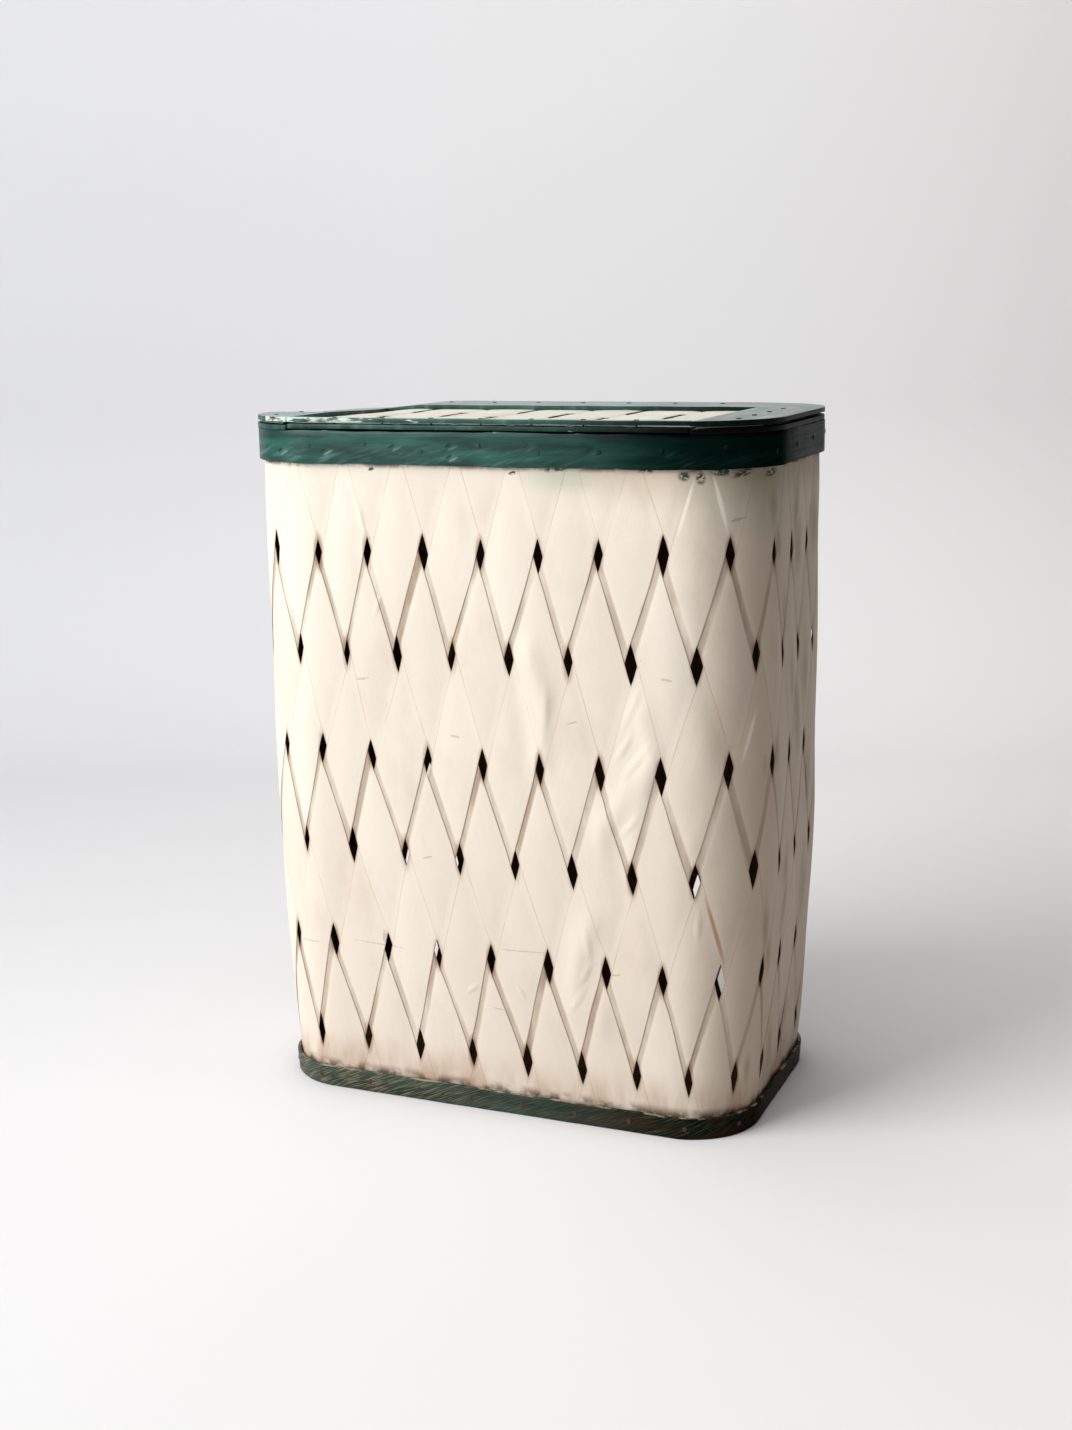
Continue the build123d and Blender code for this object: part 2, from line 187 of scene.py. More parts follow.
# %% [markdown]
# The studio is one sheet of pale paper: a floor that turns up into a wall a good way behind the hamper. It
# is a plane whose back edge is extruded upwards and whose fold is bevelled into a wide cove, so that no
# line shows where the floor ends. It stands square to the camera's heading. Seen from its back it is left
# out, so that the hamper can also be looked at from behind.

# %% Floor and backdrop
def only(*objects):
    """Select these objects alone, the first one active."""
    bpy.ops.object.select_all(action="DESELECT")
    for item in objects:
        item.select_set(True)
    bpy.context.view_layer.objects.active = objects[0]


def edit(obj, choose=None, kind="FACE"):
    """Enter edit mode with all selected, or only what choose accepts."""
    only(obj)
    bpy.ops.object.mode_set(mode="EDIT")
    bpy.ops.mesh.select_mode(type=kind)
    bpy.ops.mesh.select_all(action="SELECT" if choose is None else "DESELECT")
    if choose is not None:
        mesh = bmesh.from_edit_mesh(obj.data)
        for part in {"FACE": mesh.faces, "EDGE": mesh.edges}[kind]:
            part.select_set(bool(choose(part)))
        bmesh.update_edit_mesh(obj.data)


def leave():
    """Back to object mode."""
    bpy.ops.object.mode_set(mode="OBJECT")


def middle_of(edge):
    """Midpoint of an edge."""
    return (edge.verts[0].co + edge.verts[1].co) / 2


STAGE_SIZE, STAGE_BACK = 9.0, 1.75
JUST_BELOW = 0.0004
COVE_RADIUS, COVE_STEPS = 0.55, 24
bpy.ops.object.select_all(action="DESELECT")
bpy.ops.mesh.primitive_plane_add(size=STAGE_SIZE, location=(0, STAGE_BACK - STAGE_SIZE / 2, -JUST_BELOW))
paper = bpy.context.object
paper.name = "paper_sheet"
bpy.ops.object.transform_apply(location=True)
edit(paper, lambda e: middle_of(e).y > STAGE_BACK - 0.01, "EDGE")
bpy.ops.mesh.extrude_region_move(TRANSFORM_OT_translate={"value": (0, 0, STAGE_SIZE / 2)})
leave()
edit(paper, lambda e: abs(middle_of(e).y - STAGE_BACK) < 0.01 and abs(middle_of(e).z) < 0.01, "EDGE")
bpy.ops.mesh.bevel(offset=COVE_RADIUS, segments=COVE_STEPS, affect="EDGES")
leave()
paper.data.transform(Matrix.Rotation(CAMERA_YAW, 4, "Z"))
only(paper)
bpy.ops.object.shade_smooth()

paper_finish, net, shader = new_finish("pale_paper", 0.95, Specular_IOR_Level=0.1)
from_view = net.turned(net.place(), -CAMERA_YAW)
right, back, up = (net.part(from_view, axis) for axis in range(3))
# The paper is painted lighter towards the right and a little lighter up the wall: painted light that shapes
# how light falls across the backdrop.
paper_painted_light = net.ramp(right, -1.2, 0.9)
floor_tone = net.mix(paper_painted_light, (208, 209, 213), (243, 243, 244))
wall_tone = net.mix(paper_painted_light, (214, 216, 222), (250, 250, 252))
paper_tone = net.mix(net.ramp(net.plus(back, up), 0.2, 1.9), floor_tone, wall_tone)
ray = net.add("LightPath").outputs
seen = net.maths("MAXIMUM", net.maths("MAXIMUM", ray["Is Camera Ray"], ray["Is Glossy Ray"]),
                 ray["Is Transmission Ray"])
net.give(net.mix(seen, (206, 206, 207), paper_tone), shader.inputs["Base Color"])
backs = net.times(net.add("NewGeometry").outputs["Backfacing"], ray["Is Camera Ray"])
clear = net.add("BsdfTransparent")
cut_away = net.add("MixShader", {0: backs, 1: shader.outputs[0], 2: clear.outputs[0]})
net.give(cut_away.outputs[0], net.tree.nodes["Material Output"].inputs["Surface"])
paper.data.materials.append(paper_finish)
print("paper faces:", len(paper.data.polygons), "facing the hamper:",
      sum(f.normal.dot(Vector((0, 0, 0.5)) - f.center) > 0 for f in paper.data.polygons))

# %% [markdown]
# The light is that of a small studio: one large soft box on the left and a little in front, which makes the
# right side of the hamper fall away into shade, a weaker one overhead, and a pale world that fills the
# rest.

# %% Lights
WARM_WHITE = (1.0, 0.985, 0.96)


def soft_box(name, place, aim, width, height, watts, tint):
    """A rectangular area lamp at a place, turned to face a point."""
    data = bpy.data.lights.new(name, "AREA")
    data.shape = "RECTANGLE"
    data.size, data.size_y, data.energy, data.color = width, height, watts, tint
    lamp = bpy.data.objects.new(name, data)
    bpy.context.scene.collection.objects.link(lamp)
    lamp.location = place
    lamp.rotation_euler = (Vector(aim) - Vector(place)).to_track_quat("-Z", "Y").to_euler()


soft_box("key_left", (-1.8, -2.05, 1.75), (0, 0, 0.3), 2.1, 2.0, 102.0, (1.0, 0.985, 0.965))
soft_box("overhead", (-0.3, -0.5, 3.4), (0, 0.1, 0), 3.2, 3.2, 66.0, WARM_WHITE)
world = bpy.data.worlds.new("studio")
world.use_nodes = True
world.node_tree.nodes["Background"].inputs["Color"].default_value = (1.0, 0.98, 0.95, 1.0)
world.node_tree.nodes["Background"].inputs["Strength"].default_value = 0.09
bpy.context.scene.world = world
print("lamps set")

# %% [markdown]
# The wall is a rounded rectangle that draws in towards the base along a gentle curve. Every bent piece of
# the hamper, splint or band, is modelled flat, as it is cut, and is then bent round this wall. Blender has
# no operator for such a form, so one function takes a distance round the rim, a height and a depth below
# the wall's face to a place in space, and the same function serves all the bent pieces.

# %% The form of the wall
RIM_TOP = 624.0
WALL_HALF_X, WALL_HALF_Y, WALL_CORNER, BASE_CORNER = 246.4, 138.4, 79.4, 61.0
BASE_INSET_X, BASE_INSET_Y = 17.0, 8.5
TAPER_START, TAPER_POWER = 0.56, 1.5
FRONT_HALF = WALL_HALF_X - WALL_CORNER
SIDE_FLAT = 2 * (WALL_HALF_Y - WALL_CORNER)
CORNER_ARC = math.pi / 2 * WALL_CORNER
GIRTH = 2 * (2 * FRONT_HALF + 2 * CORNER_ARC + SIDE_FLAT)


def taper(height):
    """Share of the base inset at each height."""
    down = (1 - np.asarray(height, float) / RIM_TOP - TAPER_START) / (1 - TAPER_START)
    return np.clip(down, 0.0, 1.0) ** TAPER_POWER


def on_wall(along, height, depth):
    """Places in metres for distances round the rim, heights and depths in millimetres."""
    along, height, depth = (np.asarray(v, float) for v in (along, height, depth))
    share = taper(height)
    corner = WALL_CORNER - (WALL_CORNER - BASE_CORNER) * share - depth
    flat_x = WALL_HALF_X - BASE_INSET_X * share - depth - corner
    flat_y = WALL_HALF_Y - BASE_INSET_Y * share - depth - corner
    round_trip = np.mod(along + GIRTH / 2, GIRTH) - GIRTH / 2
    way = np.abs(round_trip)
    starts = np.cumsum([0, FRONT_HALF, CORNER_ARC, SIDE_FLAT, CORNER_ARC, FRONT_HALF])
    first = np.clip((way - starts[1]) / CORNER_ARC, 0, 1) * math.pi / 2
    second = np.clip((way - starts[3]) / CORNER_ARC, 0, 1) * math.pi / 2
    side = np.clip((way - starts[2]) / SIDE_FLAT, 0, 1)
    x = flat_x * np.clip(way / FRONT_HALF, 0, 1) + corner * np.sin(first)
    y = -flat_y - corner * np.cos(first) + 2 * flat_y * side + corner * np.sin(second)
    x = x - corner * (1 - np.cos(second)) - flat_x * np.clip((way - starts[4]) / FRONT_HALF, 0, 1)
    return np.stack([np.sign(round_trip) * x, y, height], axis=-1) * MM


print("girth", round(GIRTH, 1), "mm; a point on the right side:", on_wall(350, 300, 0).round(4))

# %% [markdown]
# The wall is a weave of two families of wide splints, twenty-six leaning each way, which pass over and
# under each other once for every diamond of the pattern. A splint is cut from the flat, so one blank is
# modelled: a grid that is pulled out to length and width, given its thickness by Solidify and its worn
# edges by Bevel.

# %% The splint blank
def flat_blank(name, width, length, thickness, cells_across, cells_along, edge):
    """A flat strip in millimetres, its length along Y, with rounded edges."""
    bpy.ops.object.select_all(action="DESELECT")
    bpy.ops.mesh.primitive_grid_add(x_subdivisions=cells_across, y_subdivisions=cells_along, size=1.0)
    blank = bpy.context.object
    blank.name = name
    edit(blank)
    bpy.ops.transform.resize(value=(width, length, 1.0))
    leave()
    solid = blank.modifiers.new("thickness", "SOLIDIFY")
    solid.thickness, solid.offset = thickness, 0.0
    wear_edges(blank, edge, 2, 60)
    return blank


def wear_edges(obj, width, steps, angle):
    """Round the sharp edges with a bevel, and apply every modifier."""
    rounding = obj.modifiers.new("worn_edge", "BEVEL")
    rounding.width, rounding.segments = width, steps
    rounding.limit_method, rounding.angle_limit = "ANGLE", math.radians(angle)
    only(obj)
    for modifier in list(obj.modifiers):
        bpy.ops.object.modifier_apply(modifier=modifier.name)


def read_points(obj):
    """The object's points as rows of x, y, z."""
    flat = np.empty(len(obj.data.vertices) * 3)
    obj.data.vertices.foreach_get("co", flat)
    return flat.reshape(-1, 3)


def write_points(obj, points):
    """Move the object's points."""
    obj.data.vertices.foreach_set("co", np.ascontiguousarray(points, float).ravel())
    obj.data.update()


def write_uv(obj, name, across, along):
    """A UV map that gives every point its pair of values."""
    layer = obj.data.uv_layers.get(name) or obj.data.uv_layers.new(name=name)
    corners = np.empty(len(obj.data.loops), int)
    obj.data.loops.foreach_get("vertex_index", corners)
    pairs = np.stack([across, along], -1)
    layer.data.foreach_set("uv", np.ascontiguousarray(pairs[corners]).ravel())


def write_mask(obj, name, values):
    """A number on every point, for the materials to read."""
    layer = obj.data.attributes.new(name, "FLOAT", "POINT")
    spread = np.broadcast_to(values, len(obj.data.vertices))
    layer.data.foreach_set("value", np.ascontiguousarray(spread, float))


SPLINT_COUNT = 26
SPLINT_WIDTH, SPLINT_THICKNESS, BLANK_LENGTH = 46.0, 0.62, 900.0
PITCH = GIRTH / SPLINT_COUNT
ROW_SPACING, ROW_HEIGHT, HOLE_PHASE = 92.9, 147.5, -0.03
LEAN = PITCH / 2 / ROW_SPACING
SPLINT_FOOT, SPLINT_HEAD = 1.0, 623.0
ROW_STEPS = np.array([0, .05, .10, .15, .20, .25, .30, .36, .44, .54, .64, .74, .84, .92]) - 0.10
CELLS_LONG, CELLS_ACROSS = 9, 12
wall_blank = flat_blank("wall_splint_blank", SPLINT_WIDTH, BLANK_LENGTH, SPLINT_THICKNESS, CELLS_ACROSS,
                        CELLS_LONG * len(ROW_STEPS), 0.12)
print("pitch", round(PITCH, 2), "mm; blank faces:", len(wall_blank.data.polygons))

# %% [markdown]
# No two gaps of the real weave are alike. The gaps of the front and right side are written down as they
# look, and the others are drawn by a seeded dice. A few crossings are pinched or opened, the rows have
# crept along the wall by a few millimetres, and a list of lines on the wall gives the places where a splint
# has buckled.

# %% Gaps, crossings and buckles
dice = random.Random(1890)
GAP_RIGHT = dict(zip(range(-5, 6), (6, 6, 10, 6, 8, 7, 10, 9, 8, 9, 8)))
GAP_LEFT = dict(zip(range(-4, 7), (8, 7, 9, 6, 8, 8, 8, 7, 9, 10, 8)))
for line in range(SPLINT_COUNT):
    wrapped = line - SPLINT_COUNT if line > SPLINT_COUNT // 2 else line
    for gaps in (GAP_RIGHT, GAP_LEFT):
        gaps.setdefault(wrapped, dice.uniform(6.2, 9.6))
OPENED = [(-57, 54), (165, 54), (-86, 147), (194, 147), (23, 147), (136, 147), (163, 240), (222, 240),
          (-139, 331), (80, 331), (135, 331), (251, 331), (218, 428), (55, 428), (32, 518)]
PINCHED = [(-112, 54), (-2, 54), (-137, 147), (-32, 147), (78, 147), (-58, 240), (-187, 331), (-83, 331),
           (-54, 428), (163, 428), (-130, 518), (85, 518), (137, 518)]
HOLE_PUSH, HOLE_REACH = 1.1, 0.14
OPEN_PUSH, PINCH_PUSH, PUSH_WIDE, PUSH_HIGH = 1.6, -1.5, 14, 30
BUCKLES = [(2.8, 9, [(45, 428), (57, 394), (56, 349)]),
           (2.3, 8, [(144, 382), (153, 348), (126, 310), (107, 281)]), (1.8, 7, [(153, 348), (135, 275)]),
           (2.3, 9, [(92, 187), (81, 158), (76, 119), (100, 105)]),
           (1.6, 12, [(197, 350), (210, 315), (189, 271)]), (1.4, 10, [(143, 165), (152, 129)]),
           (-1.2, 8, [(30, 395), (38, 350)]), (-1.0, 9, [(120, 250), (128, 215)])]
DRIFT_STEPS = np.array([-245, -205, -162, -110, -56, -2, 52, 106, 160, 214, 250, 300, 430], float)
DRIFT_ROWS = np.array([0.0, 54.6, 147.5, 240.4, 333.3, 426.2, 519.1, 624.0])
DRIFT_ALONG = np.array([
    [0, 3, 4, 5, 5, 5, 5, 4, 2, 0, 0, 0, 0],
    [0, 6.5, 6.5, 6.5, 6, 6.2, 6.2, 4.8, 2.2, 0.3, -0.2, 0, 0],
    [0, 7.5, 2.5, 4.5, 1.6, 0.6, 2.7, 3.7, 2.7, 3.8, 4, 0, 0],
    [0, 4, 0.5, -1.4, -0.4, -0.4, 0.2, 1.2, 3.7, 7.8, 9.8, 4, 0],
    [0, 7.5, -1.5, -4.5, -2.4, -2.4, -1.3, 0.7, 2.7, 7.8, 9, 4, 0],
    [0, 6.5, 3.0, -2.0, -3.4, -2.9, -1.8, 0.7, 4.7, 8.3, 9.8, 4, 0],
    [0, 4, 2.5, -2.5, -1.4, -0.4, -0.3, 0.7, 4.7, 8.8, 8, 3, 0],
    [0, 2, 1, -2, -1, 0, 0, 0, 3, 6, 6, 2, 0]], float)
DRIFT_HEIGHT = np.array([
    [0] * 13,
    [0, 0, 0, 0, 0, -1, -1, -1, 0, 0, 0, 0, 0],
    [0, -2, 1, 0, 0, 0, 1, 1, 0, -1, 0, 0, 0],
    [0, 5, 5, 3, 1, 0, 0, -1, -2, 3, 7, 3, 0],
    [0, -1, 1, -1, -3, -3, -2, -2, -1, 6, 6, 3, 0],
    [0, 0, -1, -1, 1, 2, 2, 3, 3, 5, 11, 5, 0],
    [0, -4, -4, -3, -1, -1, 0, 2, 4, 5, 3, 0, 0],
    [0] * 13], float)


def round_distance(along, spot):
    """Signed distance round the rim, the short way."""
    return np.mod(along - spot + GIRTH / 2, GIRTH) - GIRTH / 2


def ease(share):
    """A smooth step from 0 to 1."""
    share = np.clip(share, 0, 1)
    return share * share * (3 - 2 * share)


def drifted(along, height):
    """Where a point of the ideal weave really lies, as the old splints have crept along the wall."""
    place = round_distance(along, 0)
    column = np.interp(place, DRIFT_STEPS, np.arange(len(DRIFT_STEPS)))
    row = np.interp(height, DRIFT_ROWS, np.arange(len(DRIFT_ROWS)))
    c0 = np.clip(column.astype(int), 0, len(DRIFT_STEPS) - 2)
    r0 = np.clip(row.astype(int), 0, len(DRIFT_ROWS) - 2)
    u, v = ease(column - c0), ease(row - r0)
    inside = (place > DRIFT_STEPS[0]) & (place < DRIFT_STEPS[-1])
    moved = []
    for table in (DRIFT_ALONG, DRIFT_HEIGHT):
        low = table[r0, c0] * (1 - u) + table[r0, c0 + 1] * u
        high = table[r0 + 1, c0] * (1 - u) + table[r0 + 1, c0 + 1] * u
        moved.append(np.where(inside, low * (1 - v) + high * v, 0))
    return along + moved[0], height + moved[1]


def distance_to_line(along, height, line):
    """Distance on the wall to a line of points; heights count half, as the forms are tall and slim."""
    best = np.full(np.shape(along), 1e9)
    for (s0, z0), (s1, z1) in zip(line, line[1:]):
        ds, dz = round_distance(along, s0), (height - z0) / 2
        vs, vz = s1 - s0, (z1 - z0) / 2
        share = np.clip((ds * vs + dz * vz) / (vs * vs + vz * vz), 0, 1)
        best = np.minimum(best, np.hypot(ds - share * vs, dz - share * vz))
    return best


def gap_lines(along, height):
    """The two weave coordinates of a place on the wall, whose whole numbers are the gap lines."""
    lean = LEAN * (height - ROW_HEIGHT)
    return (along + lean) / PITCH - HOLE_PHASE, (along - lean) / PITCH - HOLE_PHASE


def edge_shift(along, height):
    """How far the edges near a crossing are pushed apart there."""
    a, b = (value - np.round(value) for value in gap_lines(along, height))
    shift = HOLE_PUSH * np.exp(-(a ** 2 + b ** 2) / HOLE_REACH ** 2)
    for places, push in ((OPENED, OPEN_PUSH), (PINCHED, PINCH_PUSH)):
        for s0, z0 in places:
            away = np.hypot(round_distance(along, s0) / PUSH_WIDE, (height - z0) / PUSH_HIGH)
            shift = shift + push * np.exp(-away ** 2)
    return shift


def slow_wave(rng, waves=4):
    """A smooth random curve of height, about one high."""
    parts = [(rng.uniform(90, 420), rng.uniform(0, 6.28), rng.uniform(0.4, 1.0)) for _ in range(waves)]
    def wave(z):
        return sum(size * np.sin(z / length * 6.28 + start) for length, start, size in parts) / waves * 1.6
    return wave


print("opened crossings:", len(OPENED), "pinched:", len(PINCHED), "buckles:", len(BUCKLES))

# %% [markdown]
# Each splint is a copy of the blank, laid between two gap lines. Where it passes over, it lies flat on the
# outer ply, and where it passes under, on the inner one, and it changes over the width of a gap. The whole
# weave also swells a little in the middle of each diamond, because bent wood wants to stay round.

# %% Weave the wall
SWELL, SWELL_FOOT, SWELL_HEAD, SWELL_FADE = 1.0, 22, 592, 30
PLY_MIDDLE, PLY_SHIFT = 1.5, 0.3
WAVINESS = 0.55


def swap(share):
    """A smooth step from -1 to 1."""
    share = np.clip(share, -1, 1)
    return share * (1.5 - 0.5 * share ** 2)


def wall_relief(along, height):
    """How far the weave stands out of its flat place, in millimetres."""
    a, b = (2 * (value - np.floor(value)) - 1 for value in gap_lines(along, height))
    relief = SWELL * (1 - a ** 2) * (1 - b ** 2)
    for size, width, line in BUCKLES:
        relief = relief + size * np.exp(-(distance_to_line(along, height, line) / width) ** 2)
    above_foot = np.clip((height - SWELL_FOOT) / SWELL_FADE, 0, 1)
    below_head = np.clip((SWELL_HEAD - height) / SWELL_FADE, 0, 1)
    return relief * above_foot * below_head


def weave_splint(number, lean, rng):
    """One splint of the family that leans this way, between its two gap lines. Its rows follow the splints
    that cross it, so that every step of the weave falls on a row."""
    gaps = GAP_RIGHT if lean > 0 else GAP_LEFT
    left_gap, right_gap = (gaps[(n + 12) % SPLINT_COUNT - 12] / 2 for n in (number, number + 1))
    only(wall_blank)
    bpy.ops.object.duplicate()
    splint = bpy.context.object
    points = read_points(splint)
    share = np.clip(points[:, 0] / SPLINT_WIDTH + 0.5, 0, 1)
    row = np.clip(points[:, 1] / BLANK_LENGTH + 0.5, 0, 1) * CELLS_LONG * len(ROW_STEPS)
    cell = np.floor(row / len(ROW_STEPS))
    inside_cell = np.interp(row - cell * len(ROW_STEPS), np.arange(len(ROW_STEPS) + 1), [*ROW_STEPS, 0.90])
    first = number - 6 if lean < 0 else number - 2
    crossing = first + cell + inside_cell
    low_wave, high_wave = slow_wave(rng), slow_wave(rng)
    own = number + share
    for _ in range(2):
        height = ROW_HEIGHT + lean * (crossing - own) * ROW_SPACING
        centre = (own + HOLE_PHASE) * PITCH + lean * LEAN * (height - ROW_HEIGHT)
        left = left_gap + edge_shift(centre - share * PITCH, height) + WAVINESS * low_wave(height)
        right = right_gap + edge_shift(centre + (1 - share) * PITCH, height) - WAVINESS * high_wave(height)
        own = number + left / PITCH + (1 - (left + right) / PITCH) * share
    height = ROW_HEIGHT + lean * (crossing - own) * ROW_SPACING
    along = (own + HOLE_PHASE) * PITCH + lean * LEAN * (height - ROW_HEIGHT)
    near = np.round(crossing)
    step = crossing - near
    rising = np.mod(near - number, 2) == (1 if lean < 0 else 0)
    level = np.where(rising, swap((step - 0.005) / 0.075), -swap((step - 0.13) / 0.10))
    depth = PLY_MIDDLE - PLY_SHIFT * level - points[:, 2] - wall_relief(along, height)
    along, real_height = drifted(along, height)
    write_points(splint, on_wall(along, real_height, depth))
    start_line = number + (1 if lean < 0 else 0)
    unbroken = along - GIRTH * np.round(along.mean() / GIRTH)
    write_uv(splint, "UVMap", share * SPLINT_WIDTH * MM + rng.uniform(0, 3), height * MM + rng.uniform(0, 5))
    write_uv(splint, "wall", unbroken * MM, real_height * MM)
    write_uv(splint, "weave", (crossing - start_line) / 2, own - number)
    write_mask(splint, "tone", rng.random())
    write_mask(splint, "edge", np.abs(2 * share - 1))
    write_mask(splint, "shade", rng.uniform(0.4, 0.7) if lean > 0 else rng.uniform(0.5, 0.95))
    write_mask(splint, "inside", np.where(points[:, 2] > 0, 0.0, 1.0))
    return splint


def side_of(number, lean):
    """The side of the hamper that a splint crosses half way up."""
    place = (number + 0.5 + HOLE_PHASE) * PITCH + lean * LEAN * (RIM_TOP / 2 - ROW_HEIGHT)
    place = float(round_distance(place, 0))
    reach = (2 * FRONT_HALF + CORNER_ARC) / 2
    if abs(place) < reach:
        return "front"
    if abs(place) > GIRTH / 2 - reach:
        return "back"
    return "right" if place > 0 else "left"


def joined(parts, name):
    """One object made of several, under a new name."""
    only(*parts)
    bpy.ops.object.join()
    piece = bpy.context.object
    piece.name = piece.data.name = name
    return piece


def cut(place, normal, **how):
    """Bisect the whole mesh at a plane."""
    bpy.ops.mesh.select_all(action="SELECT")
    bpy.ops.mesh.bisect(plane_co=place, plane_no=normal, **how)


def turn_outwards():
    """Face every polygon outwards, and leave edit mode."""
    bpy.ops.mesh.select_all(action="SELECT")
    bpy.ops.mesh.normals_make_consistent(inside=False)
    leave()


woven = {}
for lean, family in ((-1, "outer"), (1, "inner")):
    for number in range(SPLINT_COUNT):
        rng = random.Random(700 + 40 * lean + number)
        woven.setdefault((family, side_of(number, lean)), []).append(weave_splint(number, lean, rng))
cream_pieces = []
for (family, side), splints in woven.items():
    piece = joined(splints, f"woven_{family}_{side}")
    edit(piece)
    cut((0, 0, SPLINT_FOOT * MM), (0, 0, -1), use_fill=True, clear_outer=True)
    cut((0, 0, SPLINT_HEAD * MM), (0, 0, 1), use_fill=True, clear_outer=True)
    turn_outwards()
    bpy.ops.object.shade_smooth_by_angle(angle=math.radians(20))
    cream_pieces.append(piece)
    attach(piece, "basket")
    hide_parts(f"{family}_splints_{side}")
bpy.data.objects.remove(wall_blank)
print("wall pieces:", {p.name: len(p.data.polygons) for p in cream_pieces})

# %% [markdown]
# Three bent bands hold the wall: one outside at the rim, a hoop inside it, and one round the foot. Each is
# a strip of wood bent round until its ends overlap at the back, where both ends are planed to a wedge so
# that the lap is no thicker than the rest. They are made from the same kind of blank as the splints.

# %% Bend the bands
LAP = 60.0
BAND_CELLS = 300
THIN_END = 0.94
SWAY, DIMPLE_WIDE, DIMPLE_HIGH = 0.16, 4.5, 3.6
TOP_EDGE, GAP_SHADE_START, GAP_SHADE_FADE = 1.6, 30, 90


def bent_band(name, low, high, outer, inner, edge, cells_high, marks=(), wobble=0.3, seed=1):
    """A strip bent round the wall from one height to another, with its planed lap at the back."""
    length, middle = GIRTH + LAP, (low + high) / 2
    band = flat_blank(name, high - low, length, inner - outer, cells_high, BAND_CELLS, edge)
    points = read_points(band)
    along, height = points[:, 1], points[:, 0] + middle
    inward = 0.5 - points[:, 2] / (inner - outer)
    start = np.clip((along + length / 2) / LAP, 0, 1)
    finish = np.clip((length / 2 - along) / LAP, 0, 1)
    bottom = np.where(start < 1, start * THIN_END + 0.02, 1.0)
    top = np.where(finish < 1, 1 - finish * THIN_END, 0.0)
    inward = top + (bottom - top) * inward
    depth = outer + (inner - outer) * inward
    rng = random.Random(seed)
    round_way = along / GIRTH * 2 * math.pi
    for turns in range(2, 40, 3):
        depth = depth + wobble / 6 * np.sin(round_way * turns + rng.uniform(0, 6.28))
    sway = sum(np.sin(round_way * turns + rng.uniform(0, 6.28)) for turns in (5, 9, 14, 23, 37))
    height = height + SWAY * sway * np.sign(height - middle) * (np.abs(height - middle) > 2)
    for s0, z0, size in marks:
        away = np.hypot(round_distance(along, s0) / DIMPLE_WIDE, (height - z0) / DIMPLE_HIGH)
        depth = depth + size * np.exp(-away ** 2) * (1 - inward)
    height = np.maximum(height, 0.0)
    write_points(band, on_wall(along, height, depth))
    write_uv(band, "UVMap", along * MM, points[:, 0] * MM)
    write_uv(band, "wall", along * MM, height * MM)
    write_mask(band, "edge", np.clip(np.abs(2 * (height - low) / (high - low) - 1), 0, 1) ** 6)
    # Along the top edge of the band, from a little right of the front onwards, the paint is near black:
    # painted shade in the gap under the lid.
    top_edge = height > RIM_TOP - TOP_EDGE
    write_mask(band, "gap_shade", top_edge * np.clip((along - GAP_SHADE_START) / GAP_SHADE_FADE, 0, 1))
    edit(band)
    turn_outwards()
    bpy.ops.object.shade_smooth_by_angle(angle=math.radians(50))
    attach(band, "basket")
    return band


DIMPLES = [(-196, 606, 0.9), (-150, 607, 0.8), (-83, 611, 0.7), (-28, 613, 0.8), (-28, 604, 0.6),
           (44, 613, 0.8), (102, 611, 0.8), (168, 610, 0.8), (182, 602, 0.6)]
RIM_FOOT, HOOP_FOOT, HOOP_TOP, BASE_TOP = 595.0, 598.5, 623.5, 20.0
OUTSIDE_WALL, INSIDE_WALL = (-3.6, -0.2), (3.2, 6.7)
rim_band = bent_band("rim_band_bent", RIM_FOOT, RIM_TOP, *OUTSIDE_WALL, edge=0.7, cells_high=6, marks=DIMPLES,
                     seed=4)
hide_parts("rim_band")
hoop = bent_band("inner_hoop_bent", HOOP_FOOT, HOOP_TOP, *INSIDE_WALL, edge=0.9, cells_high=5, wobble=0.0,
                 seed=5)
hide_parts("rim_inner_hoop")
base_band = bent_band("base_band_bent", 0.0, BASE_TOP, *OUTSIDE_WALL, edge=0.8, cells_high=5, wobble=0.2,
                      seed=6)
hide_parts("base_band")
print("bands:", [(b.name, len(b.data.polygons)) for b in (rim_band, hoop, base_band)])

# %% [markdown]
# The lid is a frame of thin boards in two layers with a woven panel caught between them. Each board is sawn
# from a sheet: a plane whose corners are bevelled into the rounded corners of the rim, cut by bisecting at
# the board's edges, extruded up to its thickness, and worn round at its edges by a small bevel.

# %% Lid boards
LID_HALF_X, LID_HALF_Y, RIM_RADIUS = 250.0, 142.0, 83.0
FRAME_INNER, STRIP_END, BEYOND = 188.0, 187.4, 260.0
LOWER_END, LOWER_STRIP, LONG_BASE, UPPER_BASE, LID_TOP = 624.3, 625.7, 628.3, 631.1, 635.1
BOARD_CELL, BOARD_THICKNESS, BOARD_EDGE = 9.0, 4.0, 0.7
WANDER, WARP_LONG, WARP_WIDE = 0.175, 0.12, 0.1
SCRAPED_FRONT = -126


def settled(points):
    """The back left corner of the lid has been pressed down on the rim, and its layers are thinner there."""
    x, y, z = points[:, 0], points[:, 1], points[:, 2]
    press = ease((y + 75) / 135) * ease((-148 - x) / 72)
    levels = [LOWER_END - 0.3, LOWER_END, LONG_BASE, UPPER_BASE, LID_TOP, LID_TOP + 2]
    pressed = [LOWER_END - 0.3, LOWER_END - 0.15, 625.6, 626.5, 628.9, 630.6]
    return np.stack([x, y, z + press * (np.interp(z, levels, pressed) - z)], -1)


